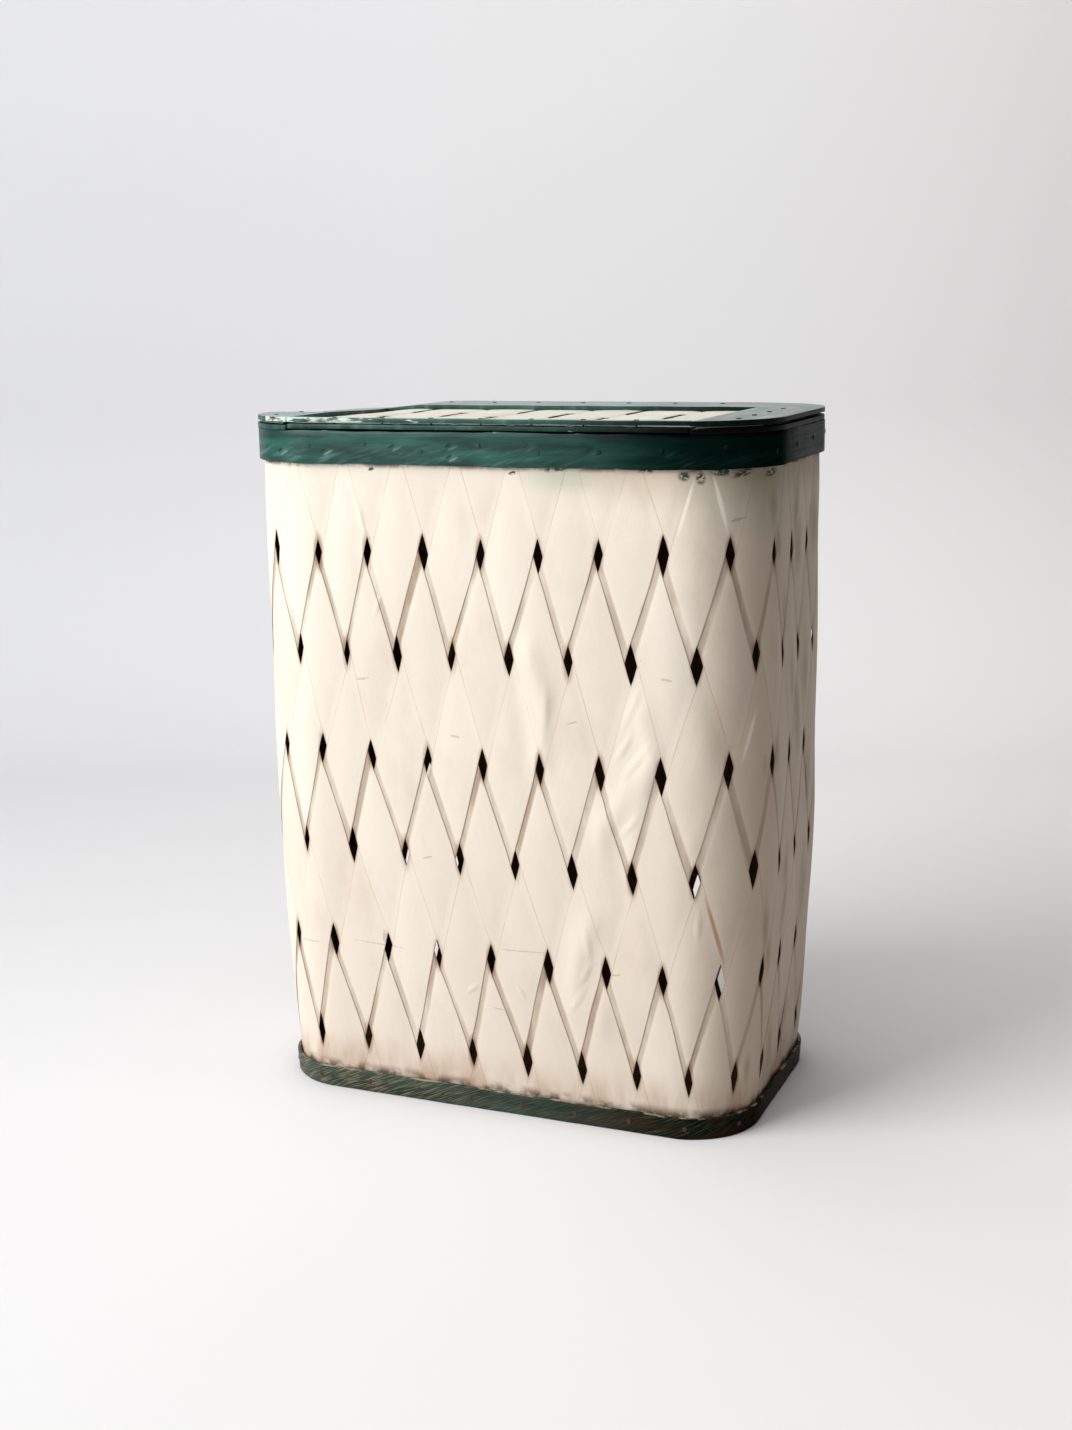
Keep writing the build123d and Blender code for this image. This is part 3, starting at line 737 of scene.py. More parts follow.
def lid_board(name, left, right, front, back, low, high, seed):
    """A board of the lid, cut from the rounded outline between these sides, in millimetres."""
    bpy.ops.object.select_all(action="DESELECT")
    bpy.ops.mesh.primitive_plane_add(size=1.0, location=(0, 0, 0))
    board = bpy.context.object
    board.name = name
    edit(board)
    bpy.ops.transform.resize(value=(2 * LID_HALF_X, 2 * LID_HALF_Y, 1.0))
    bpy.ops.mesh.bevel(offset=RIM_RADIUS, segments=22, affect="VERTICES")
    for place, normal in (((left, 0, 0), (-1, 0, 0)), ((right, 0, 0), (1, 0, 0)),
                          ((0, front, 0), (0, -1, 0)), ((0, back, 0), (0, 1, 0))):
        cut(place, normal, clear_outer=True)
    for x in np.arange(left + 6, min(right, LID_HALF_X) - 3, BOARD_CELL):
        cut((x, 0, 0), (1, 0, 0))
    for y in np.arange(front + 6, back - 3, BOARD_CELL):
        cut((0, y, 0), (0, 1, 0))
    bpy.ops.mesh.select_all(action="SELECT")
    bpy.ops.mesh.remove_doubles(threshold=0.05)
    bpy.ops.mesh.select_all(action="SELECT")
    bpy.ops.mesh.extrude_region_move(TRANSFORM_OT_translate={"value": (0, 0, high - low)})
    turn_outwards()
    wear_edges(board, BOARD_EDGE, 3, 50)
    points = read_points(board)
    rng = random.Random(seed)
    swing = [(rng.uniform(0.02, 0.09), rng.uniform(0, 6.28)) for _ in range(8)]
    x, y = points[:, 0].copy(), points[:, 1].copy()
    points[:, 0] += WANDER * sum(np.sin(y * rate + start) for rate, start in swing[:3])
    points[:, 1] += WANDER * sum(np.sin(x * rate + start) for rate, start in swing[3:6])
    points[:, 2] += (low + WARP_LONG * np.sin(x * swing[6][0] + swing[6][1])
                     + WARP_WIDE * np.sin(y * swing[7][0]))
    write_points(board, settled(points) * MM)
    x, y = points[:, 0], points[:, 1]
    rise = np.array([v.normal.z for v in board.data.vertices])
    scraped = (y < SCRAPED_FRONT) & (low > LONG_BASE)
    chips = 0.55 + 0.95 * np.clip((-20 - x) / 130, 0, 1)
    # The lower boards, except their undersides, are painted darker towards the right: painted shade in the
    # gap between the lid's layers.
    shaded_gap_faces = (low < LONG_BASE) & (rise > -0.5)
    write_mask(board, "edge", np.where(scraped, chips, np.where(np.abs(rise) < 0.995, 0.65, 0.0)))
    # The tops of the upper boards, where dust lies and where the paint gets a painted sheen at a low angle.
    write_mask(board, "top_dust_and_sheen", (rise > 0.97) & (low > LOWER_STRIP))
    write_mask(board, "gap_shade", np.where(shaded_gap_faces, np.clip((x - 110) / 60, 0.15, 1.0), 0.0))
    across, along = (y, x) if right - left < back - front else (x, y)
    write_uv(board, "UVMap", across * MM + seed * 0.37, along * MM + seed * 0.11)
    bpy.ops.object.shade_smooth_by_angle(angle=math.radians(50))
    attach(board, "lid")
    return board


LID_BOARDS = {
    "lower_left_end": (-BEYOND, -FRAME_INNER, -150, 150, LOWER_END, LOWER_END + BOARD_THICKNESS),
    "lower_right_end": (FRAME_INNER, BEYOND, -150, 150, LOWER_END, LOWER_END + BOARD_THICKNESS),
    "lower_front_strip": (-STRIP_END, STRIP_END, -142, -92, LOWER_STRIP, LOWER_STRIP + BOARD_THICKNESS),
    "lower_back_strip": (-STRIP_END, STRIP_END, 72, 142, LOWER_STRIP, LOWER_STRIP + BOARD_THICKNESS),
    "upper_left_end": (-BEYOND, -FRAME_INNER, -150, 65.4, UPPER_BASE, LID_TOP),
    "upper_right_end": (FRAME_INNER, BEYOND, -150, 65.4, UPPER_BASE, LID_TOP),
    "upper_front_strip": (-STRIP_END, STRIP_END, -142, -128, UPPER_BASE, LID_TOP),
    "upper_back_strip": (-BEYOND, BEYOND, 66, 150, UPPER_BASE, LID_TOP),
}
lid_boards = {}
for count, (name, sides) in enumerate(LID_BOARDS.items()):
    board = lid_board("lid_board_" + name, *sides, seed=count + 3)
    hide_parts("lid_" + name)
    lid_boards[name] = board
print("lid boards:", {name: len(board.data.polygons) for name, board in lid_boards.items()})

# %% [markdown]
# The panel of the lid is a plain weave: three long splints from end to end and nine short ones across, each
# passing over one neighbour and under the next. Only their ends are caught between the boards, so those are
# drawn back to the lid's rounded outline, where they are painted dark brown, near black, as painted shade in
# the gap between the boards.

# %% Weave the lid panel
LID_MIDDLE = (LONG_BASE + UPPER_BASE) / 2
LID_SETBACK = 3.0
LID_PITCH = 54
LONG_Y, CROSS_X = (-64, -10, 44), [-216 + LID_PITCH * k for k in range(9)]
CLEAR_OF_MARKS = 9.0


def reach_at(across, half_across, half_along):
    """How far from the middle the set back outline of the lid lies, at this distance to the side."""
    radius = RIM_RADIUS - LID_SETBACK
    over = np.clip(np.abs(across) - (half_across - RIM_RADIUS), 0, radius)
    return half_along - RIM_RADIUS + np.sqrt(np.clip(radius ** 2 - over ** 2, 0, None))


def lid_splint(name, along_x, place, low, high, crossings, first, seed):
    """A splint of the panel that dips under every other crossing."""
    splint = flat_blank(name, SPLINT_WIDTH, high - low, SPLINT_THICKNESS, CELLS_ACROSS, int((high - low) / 6),
                        0.3)
    points = read_points(splint)
    run, across = points[:, 1] + (low + high) / 2, points[:, 0]
    from_middle = np.abs(across) / SPLINT_WIDTH * 2
    rng = random.Random(seed)
    wave = np.zeros(len(points))
    for count, spot in enumerate(crossings):
        away = np.abs(run - spot)
        over = 1 if (count + first) % 2 == 0 else -1
        wave = np.where(away < LID_PITCH / 2 + 0.2, over * swap((LID_PITCH / 2 - away) / 6), wave)
    swell = 0.5 * np.clip(wave, 0, 1) * (1 - from_middle ** 2)
    across = across + 0.4 * slow_wave(rng)(run) * from_middle
    height = LID_MIDDLE + 0.85 * wave + points[:, 2] + swell
    if along_x:
        limit = reach_at(across + place, LID_HALF_Y, LID_HALF_X)
        x, y = np.clip(run, -limit, limit), across + place
    else:
        limit = reach_at(across + place, LID_HALF_X, LID_HALF_Y)
        x, y = across + place, np.clip(run, -limit, limit)
    write_points(splint, settled(np.stack([x, y, height], -1)) * MM)
    write_uv(splint, "UVMap", across * MM + rng.uniform(0, 3), run * MM + rng.uniform(0, 3))
    write_uv(splint, "wall", x * MM - CLEAR_OF_MARKS, y * MM - CLEAR_OF_MARKS)
    # On the lid, this weave map sets the hole marks at the corners of each crossing, where they are painted
    # shade in the panel's gaps.
    write_uv(splint, "weave", (run - crossings[0]) / LID_PITCH / 2 + 0.25, points[:, 0] / LID_PITCH + 0.5)
    write_mask(splint, "tone", rng.random())
    write_mask(splint, "edge", from_middle)
    write_mask(splint, "shade", 0.0)
    write_mask(splint, "inside", np.where(points[:, 2] > 0, 0.0, 1.0))
    # The splint ends are painted near black: painted shade in the gap between the lid's boards.
    outwards = np.maximum(np.abs(x) / LID_HALF_X, np.abs(y) / LID_HALF_Y)
    write_mask(splint, "end_shade", np.clip((outwards - 0.95) / 0.02, 0, 1))
    return splint


long_box, cross_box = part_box("lid_long_splints"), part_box("lid_cross_splints")
long_low, long_high = long_box[0][0] * 1000, long_box[1][0] * 1000
cross_low, cross_high = cross_box[0][1] * 1000, cross_box[1][1] * 1000
long_splints = [lid_splint(f"lid_long_{k}", True, y, long_low, long_high, CROSS_X, k, 40 + k)
                for k, y in enumerate(LONG_Y)]
cross_splints = [lid_splint(f"lid_cross_{k}", False, x, cross_low, cross_high, LONG_Y, k + 1, 60 + k)
                 for k, x in enumerate(CROSS_X)]
for parts, node in ((long_splints, "lid_long_splints"), (cross_splints, "lid_cross_splints")):
    panel = joined(parts, node + "_woven")
    edit(panel)
    turn_outwards()
    bpy.ops.object.shade_smooth()
    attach(panel, "lid")
    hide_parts(node)
    cream_pieces.append(panel)
print("lid panel:", long_low, long_high, cross_low, cross_high)

# %% [markdown]
# The frame of the lid is nailed through all its layers. One nail is modelled, a low head with a small crown
# and a shank, and its copies are set into the boards where they lie, shorter where the lid is pressed thin.

# %% Lid nails
HEAD_RADIUS, HEAD_HEIGHT, HEAD_SUNK, SHANK = 2.2, 0.7, 0.15, 8.5
CROWN_INSET, CROWN_RISE, SHANK_INSET = 0.7, 0.12, 1.4
NAIL_PITCH, FRONT_NAILS, BACK_NAILS, END_NAILS = 47.0, -135.0, 112.0, 219.0
nail_spots = [(NAIL_PITCH * n, y) for n in range(-3, 4) for y in (FRONT_NAILS, BACK_NAILS)]
nail_spots += [(side * END_NAILS, NAIL_PITCH * n - 7.0) for side in (-1, 1) for n in (-2, -1, 0, 1)]
bpy.ops.object.select_all(action="DESELECT")
bpy.ops.mesh.primitive_cylinder_add(vertices=14, radius=HEAD_RADIUS * MM, depth=HEAD_HEIGHT * MM,
                                    location=(0, 0, HEAD_HEIGHT / 2 * MM))
nail_blank = bpy.context.object
bpy.ops.object.transform_apply(location=True)
edit(nail_blank, lambda f: f.normal.z > 0.9)
bpy.ops.mesh.inset(thickness=CROWN_INSET * MM)
bpy.ops.transform.translate(value=(0, 0, CROWN_RISE * MM))
leave()
edit(nail_blank, lambda f: f.normal.z < -0.9)
bpy.ops.mesh.inset(thickness=SHANK_INSET * MM)
bpy.ops.mesh.extrude_region_move(TRANSFORM_OT_translate={"value": (0, 0, -SHANK * MM)})
leave()
heads = []
for x, y in nail_spots:
    only(nail_blank)
    bpy.ops.object.duplicate()
    head = bpy.context.object
    points = read_points(head) * 1000
    seat = settled(np.array([[x, y, LID_TOP]]))[0]
    shank_end = np.maximum(points[:, 2], LID_TOP - seat[2] - SHANK)
    points[:, 2] = np.where(points[:, 2] < -1, shank_end, points[:, 2] - HEAD_SUNK)
    write_points(head, (points + seat) * MM)
    heads.append(head)
lid_nails = joined(heads, "lid_nail_heads")
bpy.ops.object.shade_smooth_by_angle(angle=math.radians(35))
bpy.data.objects.remove(nail_blank)
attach(lid_nails, "lid")
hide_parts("lid_nails")
print("lid nails:", len(nail_spots))

# %% [markdown]
# Old oil paint on thin wood is never one flat colour: the fine grain shows under it, and it is worn through
# at the edges, where hands and dirt get at it. Grain and wear come back on every painted piece, so each is
# a node group with its own inputs.

# %% Shared groups: grain and edge wear
VECTOR, NUMBER = "NodeSocketVector", "NodeSocketFloat"


def new_group(name, inputs, outputs):
    """A shader node group with named sockets; an input is a vector, or a number with its default."""
    group = bpy.data.node_groups.new(name, "ShaderNodeTree")
    for label, default in inputs.items():
        kind = VECTOR if default is None else NUMBER
        socket = group.interface.new_socket(label, in_out="INPUT", socket_type=kind)
        if default is not None:
            socket.default_value = default
    for label in outputs:
        group.interface.new_socket(label, in_out="OUTPUT", socket_type=NUMBER)
    given, result = (group.nodes.new(kind) for kind in ("NodeGroupInput", "NodeGroupOutput"))
    return group, Net(group), given.outputs, result.inputs


grain_group, net, given, result = new_group(
    "wood_grain", {"Along": None, "Across Scale": 900.0, "Along Scale": 14.0}, ["Grain"])
spread = net.add("CombineXYZ", {0: given["Across Scale"], 1: given["Along Scale"], 2: 1.0})
grain_at = net.stretched(given["Along"], spread.outputs[0])
fine = net.noise(grain_at, 1.0, 2.0, 0.6)
wide = net.noise(net.stretched(grain_at, (0.12, 0.3, 1.0)), 1.0, 2.0, 0.5)
net.give(net.plus(net.times(fine, 0.65), net.times(wide, 0.35)), result["Grain"])

wear_group, net, given, result = new_group(
    "patchy_wear", {"Place": None, "Near Edge": 0.0, "Amount": 0.5, "Size": 60.0}, ["Worn"])
patch = net.noise(given["Place"], given["Size"], 5.0, 0.65)
push = net.times(given["Near Edge"], given["Amount"])
net.give(net.ramp(net.plus(patch, push), 0.86, 0.98), result["Worn"])
print("groups:", [group.name for group in bpy.data.node_groups])

# %% [markdown]
# Where a splint comes out from under its neighbour, the step gets painted shade mixed with dust and old brush
# marks, and every crossing of the wall has dirt round its hole; on the lid's panel the hole marks are painted
# shade in the gaps at the corners of the crossings. The weave map of each splint counts its crossings, so
# both
# marks can be worked out from it: a step falls on each whole number, and a hole where the splint's own edge
# meets it.

# %% Shared group: marks of the weave
def from_whole(net, value, scale):
    """Signed distance to the nearest whole number, times scale."""
    return net.times(net.minus(net.maths("FRACT", net.plus(value, 0.5)), 0.5), scale)


def length_of(net, first, second):
    """The long side of a right triangle."""
    return net.maths("SQRT", net.plus(net.times(first, first), net.times(second, second)))


marks_group, net, given, result = new_group("weave_marks", {"Weave": None}, ["Step", "Hole"])
crossings, own_width = (net.part(given["Weave"], axis) for axis in (0, 1))
step = from_whole(net, crossings, 2.0)
net.give(net.times(net.ramp(step, -0.105, -0.075), net.ramp(step, 0.0, 0.045, 1.0, 0.0)), result["Step"])
away = length_of(net, from_whole(net, net.times(crossings, 2.0), 1.0), from_whole(net, own_width, 1.0))
net.give(net.ramp(away, 0.085, 0.17, 1.0, 0.0), result["Hole"])
print("weave marks ready")

# %% [markdown]
# Some marks have a place of their own: smears of green under the rim, dark dashes, painted shade mixed with
# some dirt in the steps and holes of the shaded right side, painted highlights along a few lit splint edges,
# and creases where a splint has buckled. Each is an ellipse on the wall, turned as the mark lies and with a
# ragged or a soft outline, so one group serves every list of marks.

# %% Shared group: ragged spots
spot_group, net, given, result = new_group(
    "ragged_spot", {"Place": None, "Centre": None, "Long Axis": None, "Short Axis": None,
                    "Rag": 0.0, "Soft": 0.0}, ["Spot"])
gap = net.add("VectorMath", {0: given["Place"], 1: given["Centre"]}, operation="SUBTRACT").outputs[0]
reaches = [net.add("VectorMath", {0: gap, 1: given[axis]}, operation="DOT_PRODUCT").outputs["Value"]
           for axis in ("Long Axis", "Short Axis")]
away = net.plus(length_of(net, *reaches), given["Rag"])
net.give(net.ramp(away, net.minus(0.8, given["Soft"]), 1.15, 1.0, 0.0), result["Spot"])


def ragged(net, place, amount, size):
    """A small number that wavers from place to place, for the outline of a spot."""
    return net.times(net.minus(net.noise(place, size, 4.0, 0.7), 0.5), amount)


def spots(net, place, marks, rag=0.0, soft=0.0):
    """One mask of several spots, each (distance, height, half width, half height, turn in degrees)."""
    mask = None
    for s, z, half_s, half_z, degrees in marks:
        across, up = math.cos(math.radians(degrees)), math.sin(math.radians(degrees))
        one = net.group(spot_group, Place=place, Centre=(s * MM, z * MM, 0), Rag=rag, Soft=soft,
                        Long_Axis=(across / half_s / MM, up / half_s / MM, 0),
                        Short_Axis=(-up / half_z / MM, across / half_z / MM, 0))["Spot"]
        mask = one if mask is None else net.maths("MAXIMUM", mask, one)
    return mask


GREEN_SMEARS = [(-222, 595, 11, 3, 5), (-150, 596, 30, 2, 0), (70, 594, 14, 2.8, 5), (112, 596, 26, 2.4, 0),
                (183, 590, 6, 5, 0), (197, 588, 5, 6, 0), (236, 592, 14, 4, 15), (268, 590, 10, 4, 10),
                (-105, 591, 4, 2, 20), (30, 590, 5, 2, 10), (215, 593, 12, 4, 0), (150, 594, 8, 2.4, 0)]
GREEN_HAZE = [(262, 572, 84, 40, 0), (262, 338, 5, 14, 0), (75, 586, 45, 14, 0)]
DARK_DASHES = [(-121, 402, 6, 1, 8), (-30, 355, 5, 1.1, -5), (82, 375, 5, 1, 18), (168, 418, 5, 1.2, -8),
               (230, 553, 7, 1.4, 12), (-190, 144, 14, 0.6, 4), (-112, 150, 24, 0.6, -3),
               (30, 160, 22, 0.6, 2), (-108, 158, 2.5, 6, 0), (-60, 240, 5, 0.9, 15),
               (120, 148, 5, 0.8, 10), (5, 101, 6, 0.7, -6)]
SIDE_SHADE_SMUDGES = [(272, 562, 8, 21, 8), (281, 530, 8, 20, 8), (336, 556, 14, 30, -4), (345, 520, 15, 33, 0),
                (400, 535, 16, 34, 0), (330, 405, 11, 40, 8), (350, 362, 12, 44, 6), (376, 402, 14, 40, 0),
                (284, 346, 8, 22, 0), (320, 232, 11, 26, 0), (272, 188, 8, 34, 8), (324, 196, 11, 34, -8),
                (385, 205, 16, 52, 0), (282, 158, 8, 24, 0), (355, 74, 14, 30, 0), (313, 60, 11, 36, 8),
                (258, 60, 7, 18, 0), (300, 470, 7, 24, 6), (390, 300, 14, 40, 0)]
BROWN_STRIPS = [(212, 194.6, 2.4, 38, 17.4)]
LIT_EDGE_HIGHLIGHTS = [(214.4, 564.8, 2.4, 28, 15.6), (242.7, 367, 2.4, 26, -18.7), (184, 562, 2.0, 28, -16.2)]
CREASES = [(141, 345, 24, 5.2, 52), (130, 357, 18, 4.6, 58), (134, 286, 19, 4.8, 52),
           (137, 392, 24, 5.4, 66), (44, 378, 28, 4.6, -77), (58, 388, 22, 5.0, 88),
           (94, 172, 20, 4.8, -82), (92, 148, 15, 4.4, 68), (83, 120, 20, 4.8, 60),
           (-103, 470, 12, 3.6, 70), (-117, 548, 16, 4.2, -80), (196, 200, 16, 4.4, 88),
           (-20, 118, 9, 3.4, 40), (28, 120, 9, 3.4, -60)]
RIM_DENTS = [(-196, 606), (-150, 607), (-83, 611), (-28, 613), (-28, 603), (44, 613), (102, 611), (168, 610),
             (182, 602)]
print("marks:", sum(map(len, (GREEN_SMEARS, GREEN_HAZE, DARK_DASHES, SIDE_SHADE_SMUDGES, BROWN_STRIPS, LIT_EDGE_HIGHLIGHTS,
                              CREASES, RIM_DENTS))))

# %% [markdown]
# The cream paint of the splints. Its tone shifts from splint to splint and along each one, it is dirty round
# the holes and at the foot, it has a brown line along the rim's lower edge with painted shade below it
# towards the right, painted shade mixed with dust in the steps and in dark smudges on the right side, painted
# shade at the ends of the lid's splints and in the lid's gaps, and painted highlights along a few lit splint
# edges. It is warmer on the shaded right side, and the brown wood shows at its edges and on the inner face.
# The coats are laid in this order, each over the ones before.

# %% Cream paint
cream, net, shader = new_finish("old_cream_paint", 0.5)
spot, wall_place, edge = net.place(), net.uv("wall"), net.mask("edge")
height, round_wall = net.part(spot, 2), net.part(wall_place, 0)
marks = net.group(marks_group, Weave=net.uv("weave"))
outside = net.minus(1.0, net.mask("inside"))
grain = net.group(grain_group, Along=net.uv("UVMap"))["Grain"]
cloud = net.noise(net.stretched(wall_place, (1.0, 0.4, 1.0)), 9.0, 4.0)
blotch = net.noise(net.stretched(wall_place, (1.0, 0.5, 1.0)), 17.0, 5.0, 0.62)
soot = net.noise(net.stretched(wall_place, (1.0, 0.35, 1.0)), 34.0, 3.0)
speck = net.noise(net.stretched(wall_place, (0.6, 1.0, 1.0)), 340.0, 4.0, 0.6)
tone = net.ramp(net.plus(net.times(net.mask("tone"), 0.3), net.times(cloud, 0.7)), 0.2, 0.8)
low_paint = net.mix(tone, (227, 214, 199), (236, 226, 213))
high_paint = net.mix(tone, (226, 216, 202), (239, 231, 218))

# Painted shade mixed with dust in the steps where a splint rises from under its neighbour.
step_dirt_and_shade = net.times(marks["Step"], net.mask("shade"), outside, net.ramp(soot, 0.3, 0.62, 0.25, 1.0))
# Dirt round the holes of the wall; on the lid's panel the same marks are painted shade in the gaps.
hole = net.times(marks["Hole"], net.ramp(soot, 0.35, 0.65), 0.7)
foot_dirt = net.times(net.ramp(height, 0.02, 0.065, 1.0, 0.0), net.ramp(soot, 0.35, 0.7, 0.1, 0.75))
foot_line = net.times(net.ramp(height, 0.020, 0.030, 1.0, 0.0),
                      net.ramp(net.noise(wall_place, 60.0, 4.0), 0.38, 0.6), 0.85)
rim_line = net.times(net.ramp(height, 0.590, 0.5955), net.ramp(height, 0.606, 0.612, 1.0, 0.0),
                     net.ramp(net.noise(wall_place, 48.0, 4.0), 0.42, 0.6), 0.8)
worn = net.group(wear_group, Place=spot, Near_Edge=edge, Amount=0.22, Size=46.0)["Worn"]
smeared = net.times(spots(net, wall_place, GREEN_SMEARS, 0.0, 0.4), net.ramp(speck, 0.40, 0.52), outside)
dashes = net.times(spots(net, wall_place, DARK_DASHES, ragged(net, wall_place, 3.0, 380.0)), 0.3)
rim_of_splint = net.times(net.ramp(edge, 0.94, 0.99), net.ramp(soot, 0.3, 0.6, 0.1, 0.55))
shaded_side = net.times(net.ramp(round_wall, 0.17, 0.28, 0.0, 0.85),
                        net.ramp(round_wall, 0.42, 0.66, 1.0, 0.0))
# Painted shade on the wall just under the rim band, towards the right.
under_rim_shade = net.times(net.ramp(height, 0.555, 0.594), net.ramp(round_wall, 0.02, 0.14, 0.0, 0.75))
on_lid = net.ramp(height, 0.622, 0.628)
# Painted shade mixed with some dirt in the steps and holes of the shaded right side.
step_shade_smudge = net.times(spots(net, wall_place, SIDE_SHADE_SMUDGES, ragged(net, wall_place, 0.8, 60.0), 0.75),
                   net.plus(net.times(marks["Step"], 0.55), 0.36))
paint = net.coats(
    net.mix(net.ramp(height, 0.15, 0.5), low_paint, high_paint),
    (net.ramp(grain, 0.5, 0.8, 0.0, 0.2), (198, 178, 156)),
    (net.ramp(blotch, 0.47, 0.75, 0.0, 0.5), (216, 198, 180)),
    (step_dirt_and_shade, (178, 160, 142), "MULTIPLY"),
    (hole, (160, 126, 96), "MULTIPLY"),
    (foot_dirt, (200, 172, 148), "MULTIPLY"),
    (foot_line, (74, 52, 38)),
    (rim_line, (112, 62, 44)),
    (net.times(worn, 0.6), (158, 126, 96)),
    (net.times(spots(net, wall_place, BROWN_STRIPS, 0.0, 0.4), 0.75), (178, 132, 90)),
    (net.times(spots(net, wall_place, GREEN_HAZE, 0.0, 0.7), 0.42), (166, 190, 170)),
    (smeared, (28, 76, 62)),
    (dashes, (104, 82, 64)),
    (rim_of_splint, (206, 182, 158), "MULTIPLY"),
    (shaded_side, (237, 223, 207), "MULTIPLY"),
    (under_rim_shade, (214, 202, 192), "MULTIPLY"),
    (on_lid, (236, 244, 244), "MULTIPLY"),
    (step_shade_smudge, (104, 70, 48)),
    # Painted highlights along a few lit splint edges.
    (net.times(spots(net, wall_place, LIT_EDGE_HIGHLIGHTS, 0.0, 0.4), 0.8), (250, 242, 226)),
    (net.mask("inside"), (112, 84, 58)),
    (net.mask("end_shade"), (38, 27, 20)))
net.give(paint, shader.inputs["Base Color"])
net.give(net.ramp(grain, 0.2, 0.9, 0.42, 0.62), shader.inputs["Roughness"])
fine_paint = net.noise(net.stretched(wall_place, (0.45, 1.7, 1.0)), 420.0, 3.0)
crease = net.times(spots(net, wall_place, CREASES, 0.0, 0.8), 3.0)
net.bump(shader, net.plus(net.plus(grain, net.times(fine_paint, 0.5)), crease), 0.0002)


def dress(finish, *pieces):
    """Give the pieces this finish alone."""
    for piece in pieces:
        piece.data.materials.clear()
        piece.data.materials.append(finish)


dress(cream, *cream_pieces)
print("cream on", len(cream_pieces), "pieces")
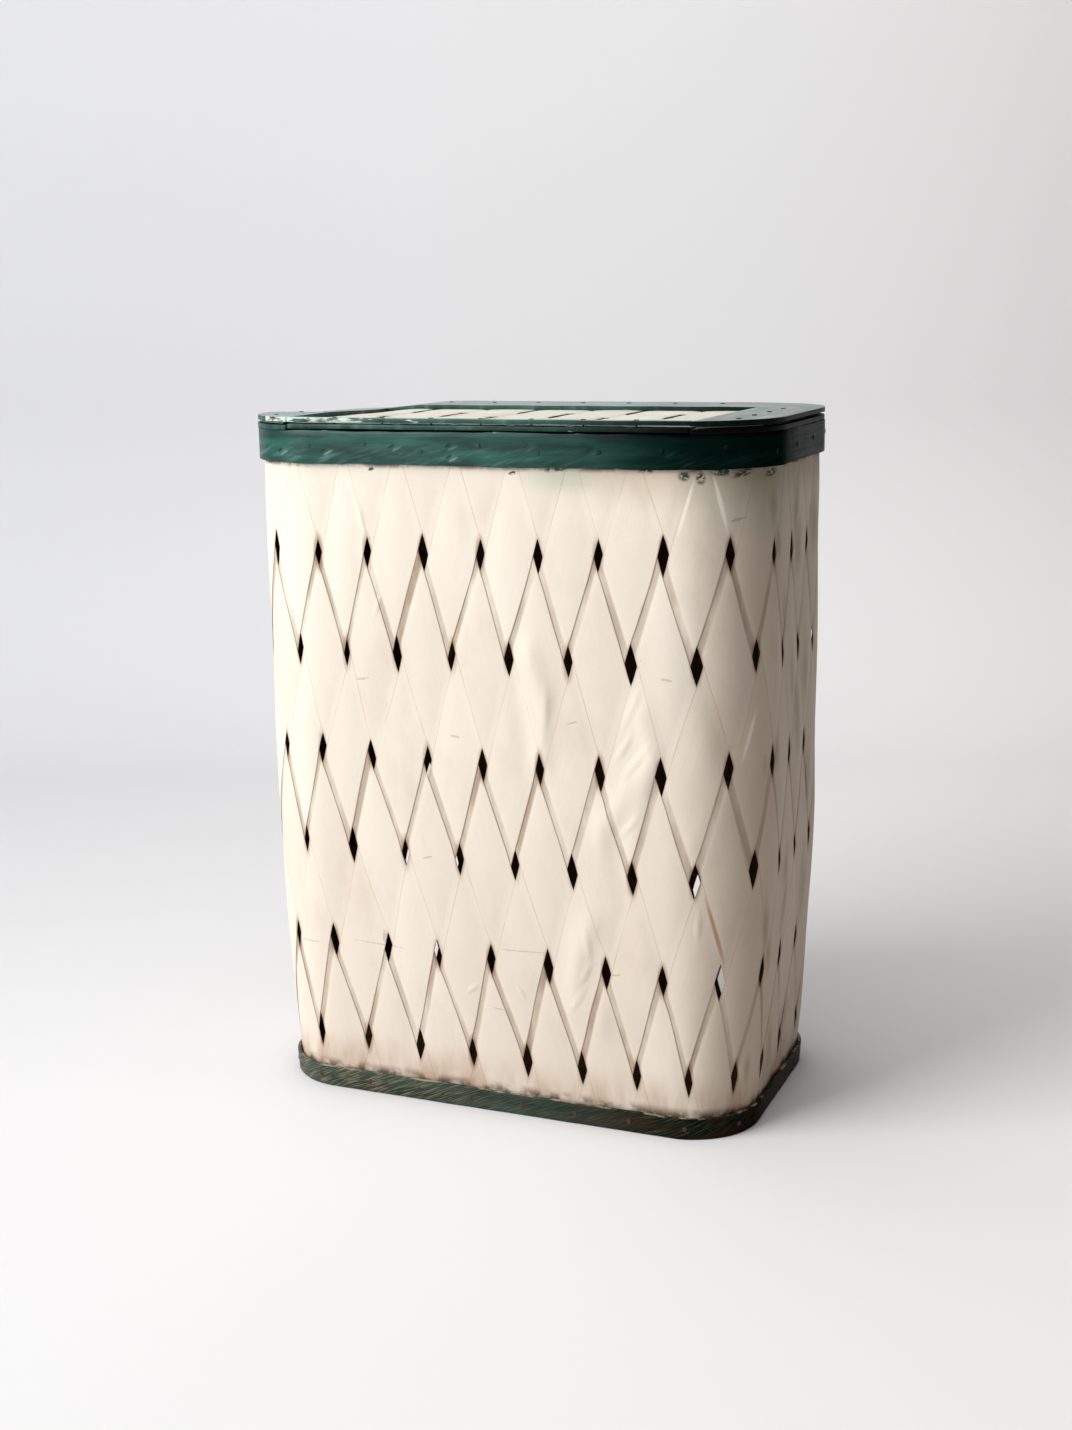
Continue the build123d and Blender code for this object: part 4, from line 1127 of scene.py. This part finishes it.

# %% [markdown]
# The frame boards and the rim band wear a glossy blue-green paint, brushed on lengthwise. Towards the right
# it is painted dull and nearly black as painted shade, the rim band has pale smears of painted sheen and
# painted highlight and shade round its nail dents, and the gaps under the lid's boards and along the bands'
# top edges are painted near black as painted shade. Dust lies on the top of the lid, with a painted sheen
# that shows most at a low angle. The base band is the same paint but much darker and scratched. Both are worn
# to pale primer and to bare wood along their edges.

# %% Green paint
def green_paint(name, deep, light, rough, right_shade, edge_wear, primer, scratch=0.0):
    """Brushed oil paint over wood, worn first to pale primer and then to wood at its edges."""
    finish, net, shader = new_finish(name, rough)
    along, spot, wall_place, near_edge = net.uv("UVMap"), net.place(), net.uv("wall"), net.mask("edge")
    grain = net.group(grain_group, Along=net.turned(along, math.pi / 2), Across_Scale=700.0,
                      Along_Scale=10.0)["Grain"]
    cloud = net.noise(net.stretched(along, (6.0, 40.0, 1.0)), 2.0, 4.0)
    east, round_wall = net.part(spot, 0), net.part(wall_place, 0)
    # The paint turns darker towards the right as painted shade, and less glossy there.
    right_shade_and_dull = net.ramp(east, 0.0, 0.2)
    paint = net.coats(net.mix(net.ramp(cloud, 0.35, 0.7), deep, light),
                      (net.ramp(grain, 0.5, 0.8, 0.0, 0.3), light),
                      (net.times(right_shade_and_dull, right_shade), (4, 17, 13)))
    if scratch:
        lines = net.noise(net.stretched(net.turned(along, -0.42), (40.0, 1100.0, 1.0)), 1.0, 3.0)
        scratched = net.times(net.ramp(lines, 0.48, 0.66, 0.0, scratch),
                              net.ramp(east, -0.18, 0.06, 1.0, 0.25))
        muddy = net.times(right_shade_and_dull, net.ramp(cloud, 0.4, 0.6, 0.0, 0.75))
        paint = net.coats(paint, (scratched, primer), (muddy, (50, 32, 22)))
    else:
        rag = ragged(net, spot, 1.2, 130.0)
        # Pale lengthwise streaks of painted sheen, fading towards the right and towards the band's top.
        sheen_smears = net.noise(net.stretched(net.turned(along, -0.3), (30.0, 240.0, 1.0)), 1.0, 4.0)
        fading = net.times(net.ramp(east, -0.05, 0.15, 0.62, 0.05),
                           net.ramp(net.part(wall_place, 1), 0.617, 0.602))
        # Beside each nail dent a paler mark is a painted highlight, and the dark tick in it is painted shade.
        pressed = [(s + 5, z - 2, 7, 1.5, 25) for s, z in RIM_DENTS]
        dent_shadows = [(s, z, 3.4, 1.3, 28) for s, z in RIM_DENTS]
        paint = net.coats(paint, (net.times(net.ramp(sheen_smears, 0.46, 0.8), fading), (96, 134, 130)),
                          (net.times(spots(net, wall_place, pressed, rag, 0.7), fading), (124, 160, 154)),
                          (net.times(spots(net, wall_place, dent_shadows, rag), 0.8), (10, 34, 30)))
    # Dust on the lid's top, made paler at a low angle as a painted sheen.
    slant = net.add("LayerWeight", {"Blend": 0.5}).outputs["Facing"]
    dust_and_sheen = net.times(net.mask("top_dust_and_sheen"), net.ramp(cloud, 0.3, 0.7, 0.5, 0.85),
                      net.ramp(slant, 0.4, 0.76, 0.3, 1.0))
    pale = net.group(wear_group, Place=net.stretched(spot, (0.45, 0.8, 2.4)), Near_Edge=near_edge,
                     Amount=edge_wear, Size=90.0)["Worn"]
    brown = net.group(wear_group, Place=net.stretched(spot, (1.0, 1.0, 1.7)), Near_Edge=near_edge,
                      Amount=edge_wear - 0.09, Size=60.0)["Worn"]
    paint = net.coats(paint, (dust_and_sheen, (158, 170, 167)), (pale, primer), (brown, (104, 70, 44)),
                      # Near black where this mask is set: painted shade in the gaps under the lid.
                      (net.mask("gap_shade"), (5, 9, 8)))
    net.give(paint, shader.inputs["Base Color"])
    net.give(net.ramp(grain, 0.2, 0.8, rough - 0.08, rough + 0.14), shader.inputs["Roughness"])
    corner = net.times(net.ramp(round_wall, 0.1, 0.18), net.ramp(round_wall, 0.27, 0.36, 1.0, 0.0))
    gloss = net.times(net.minus(0.27, net.times(right_shade_and_dull, 0.22)), net.minus(1.0, corner))
    net.give(gloss, shader.inputs["Specular IOR Level"])
    dents = net.noise(net.stretched(along, (1.0, 1.6, 1.0)), 38.0, 2.0)
    net.bump(shader, net.plus(grain, net.times(dents, 2.2)), 0.0005, 0.5)
    return finish


green = green_paint("blue_green_paint", (14, 54, 47), (36, 88, 78), 0.36, 0.92, 0.31, (192, 212, 204))
dark_green = green_paint("dark_green_paint", (22, 43, 35), (52, 70, 58), 0.46, 0.85, 0.40, (150, 138, 112),
                         scratch=0.8)
dress(green, rim_band, hoop, lid_nails, *lid_boards.values())
dress(dark_green, base_band)
print("green on", 2 + len(lid_boards), "pieces and the lid's nails")

# %% [markdown]
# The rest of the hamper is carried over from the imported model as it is: the bottom board of bare ash, the
# nails of the bands and the hinges. They take their finishes in the slots that they came with.

# %% Bare wood, nails and hinges
wood, net, shader = new_finish("bare_ash_wood", 0.7)
grain = net.group(grain_group, Along=net.place(), Across_Scale=16.0, Along_Scale=420.0)["Grain"]
net.give(net.mix(net.ramp(grain, 0.3, 0.7), (122, 92, 62), (176, 142, 102)), shader.inputs["Base Color"])
net.bump(shader, grain, 0.0004, 0.6)

rusty_steel, net, shader = new_finish("rusty_nail", 0.7)
rust = net.noise(net.place(), 300.0, 4.0)
net.give(net.mix(net.ramp(rust, 0.45, 0.6), (84, 38, 26), (58, 34, 26)), shader.inputs["Base Color"])

hinge_steel, net, shader = new_finish("worn_hinge_steel", 0.42, Metallic=0.9)
rust = net.noise(net.place(), 160.0, 5.0)
net.give(net.mix(net.ramp(rust, 0.45, 0.65), (120, 112, 98), (92, 62, 42)), shader.inputs["Base Color"])
net.give(net.ramp(rust, 0.4, 0.7, 0.35, 0.7), shader.inputs["Roughness"])

CARRIED = {"bottom_board": wood, "rim_nails": green, "base_nails": rusty_steel,
           "hinge_fixed_leaves": hinge_steel, "hinge_lid_leaves": hinge_steel, "hinge_pins": hinge_steel,
           "hinge_band_screws": hinge_steel, "hinge_lid_screws": hinge_steel}
for node, finish in CARRIED.items():
    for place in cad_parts[node].material_slots:
        place.material = finish
print("carried nodes:", {node: len(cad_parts[node].material_slots) for node in CARRIED})
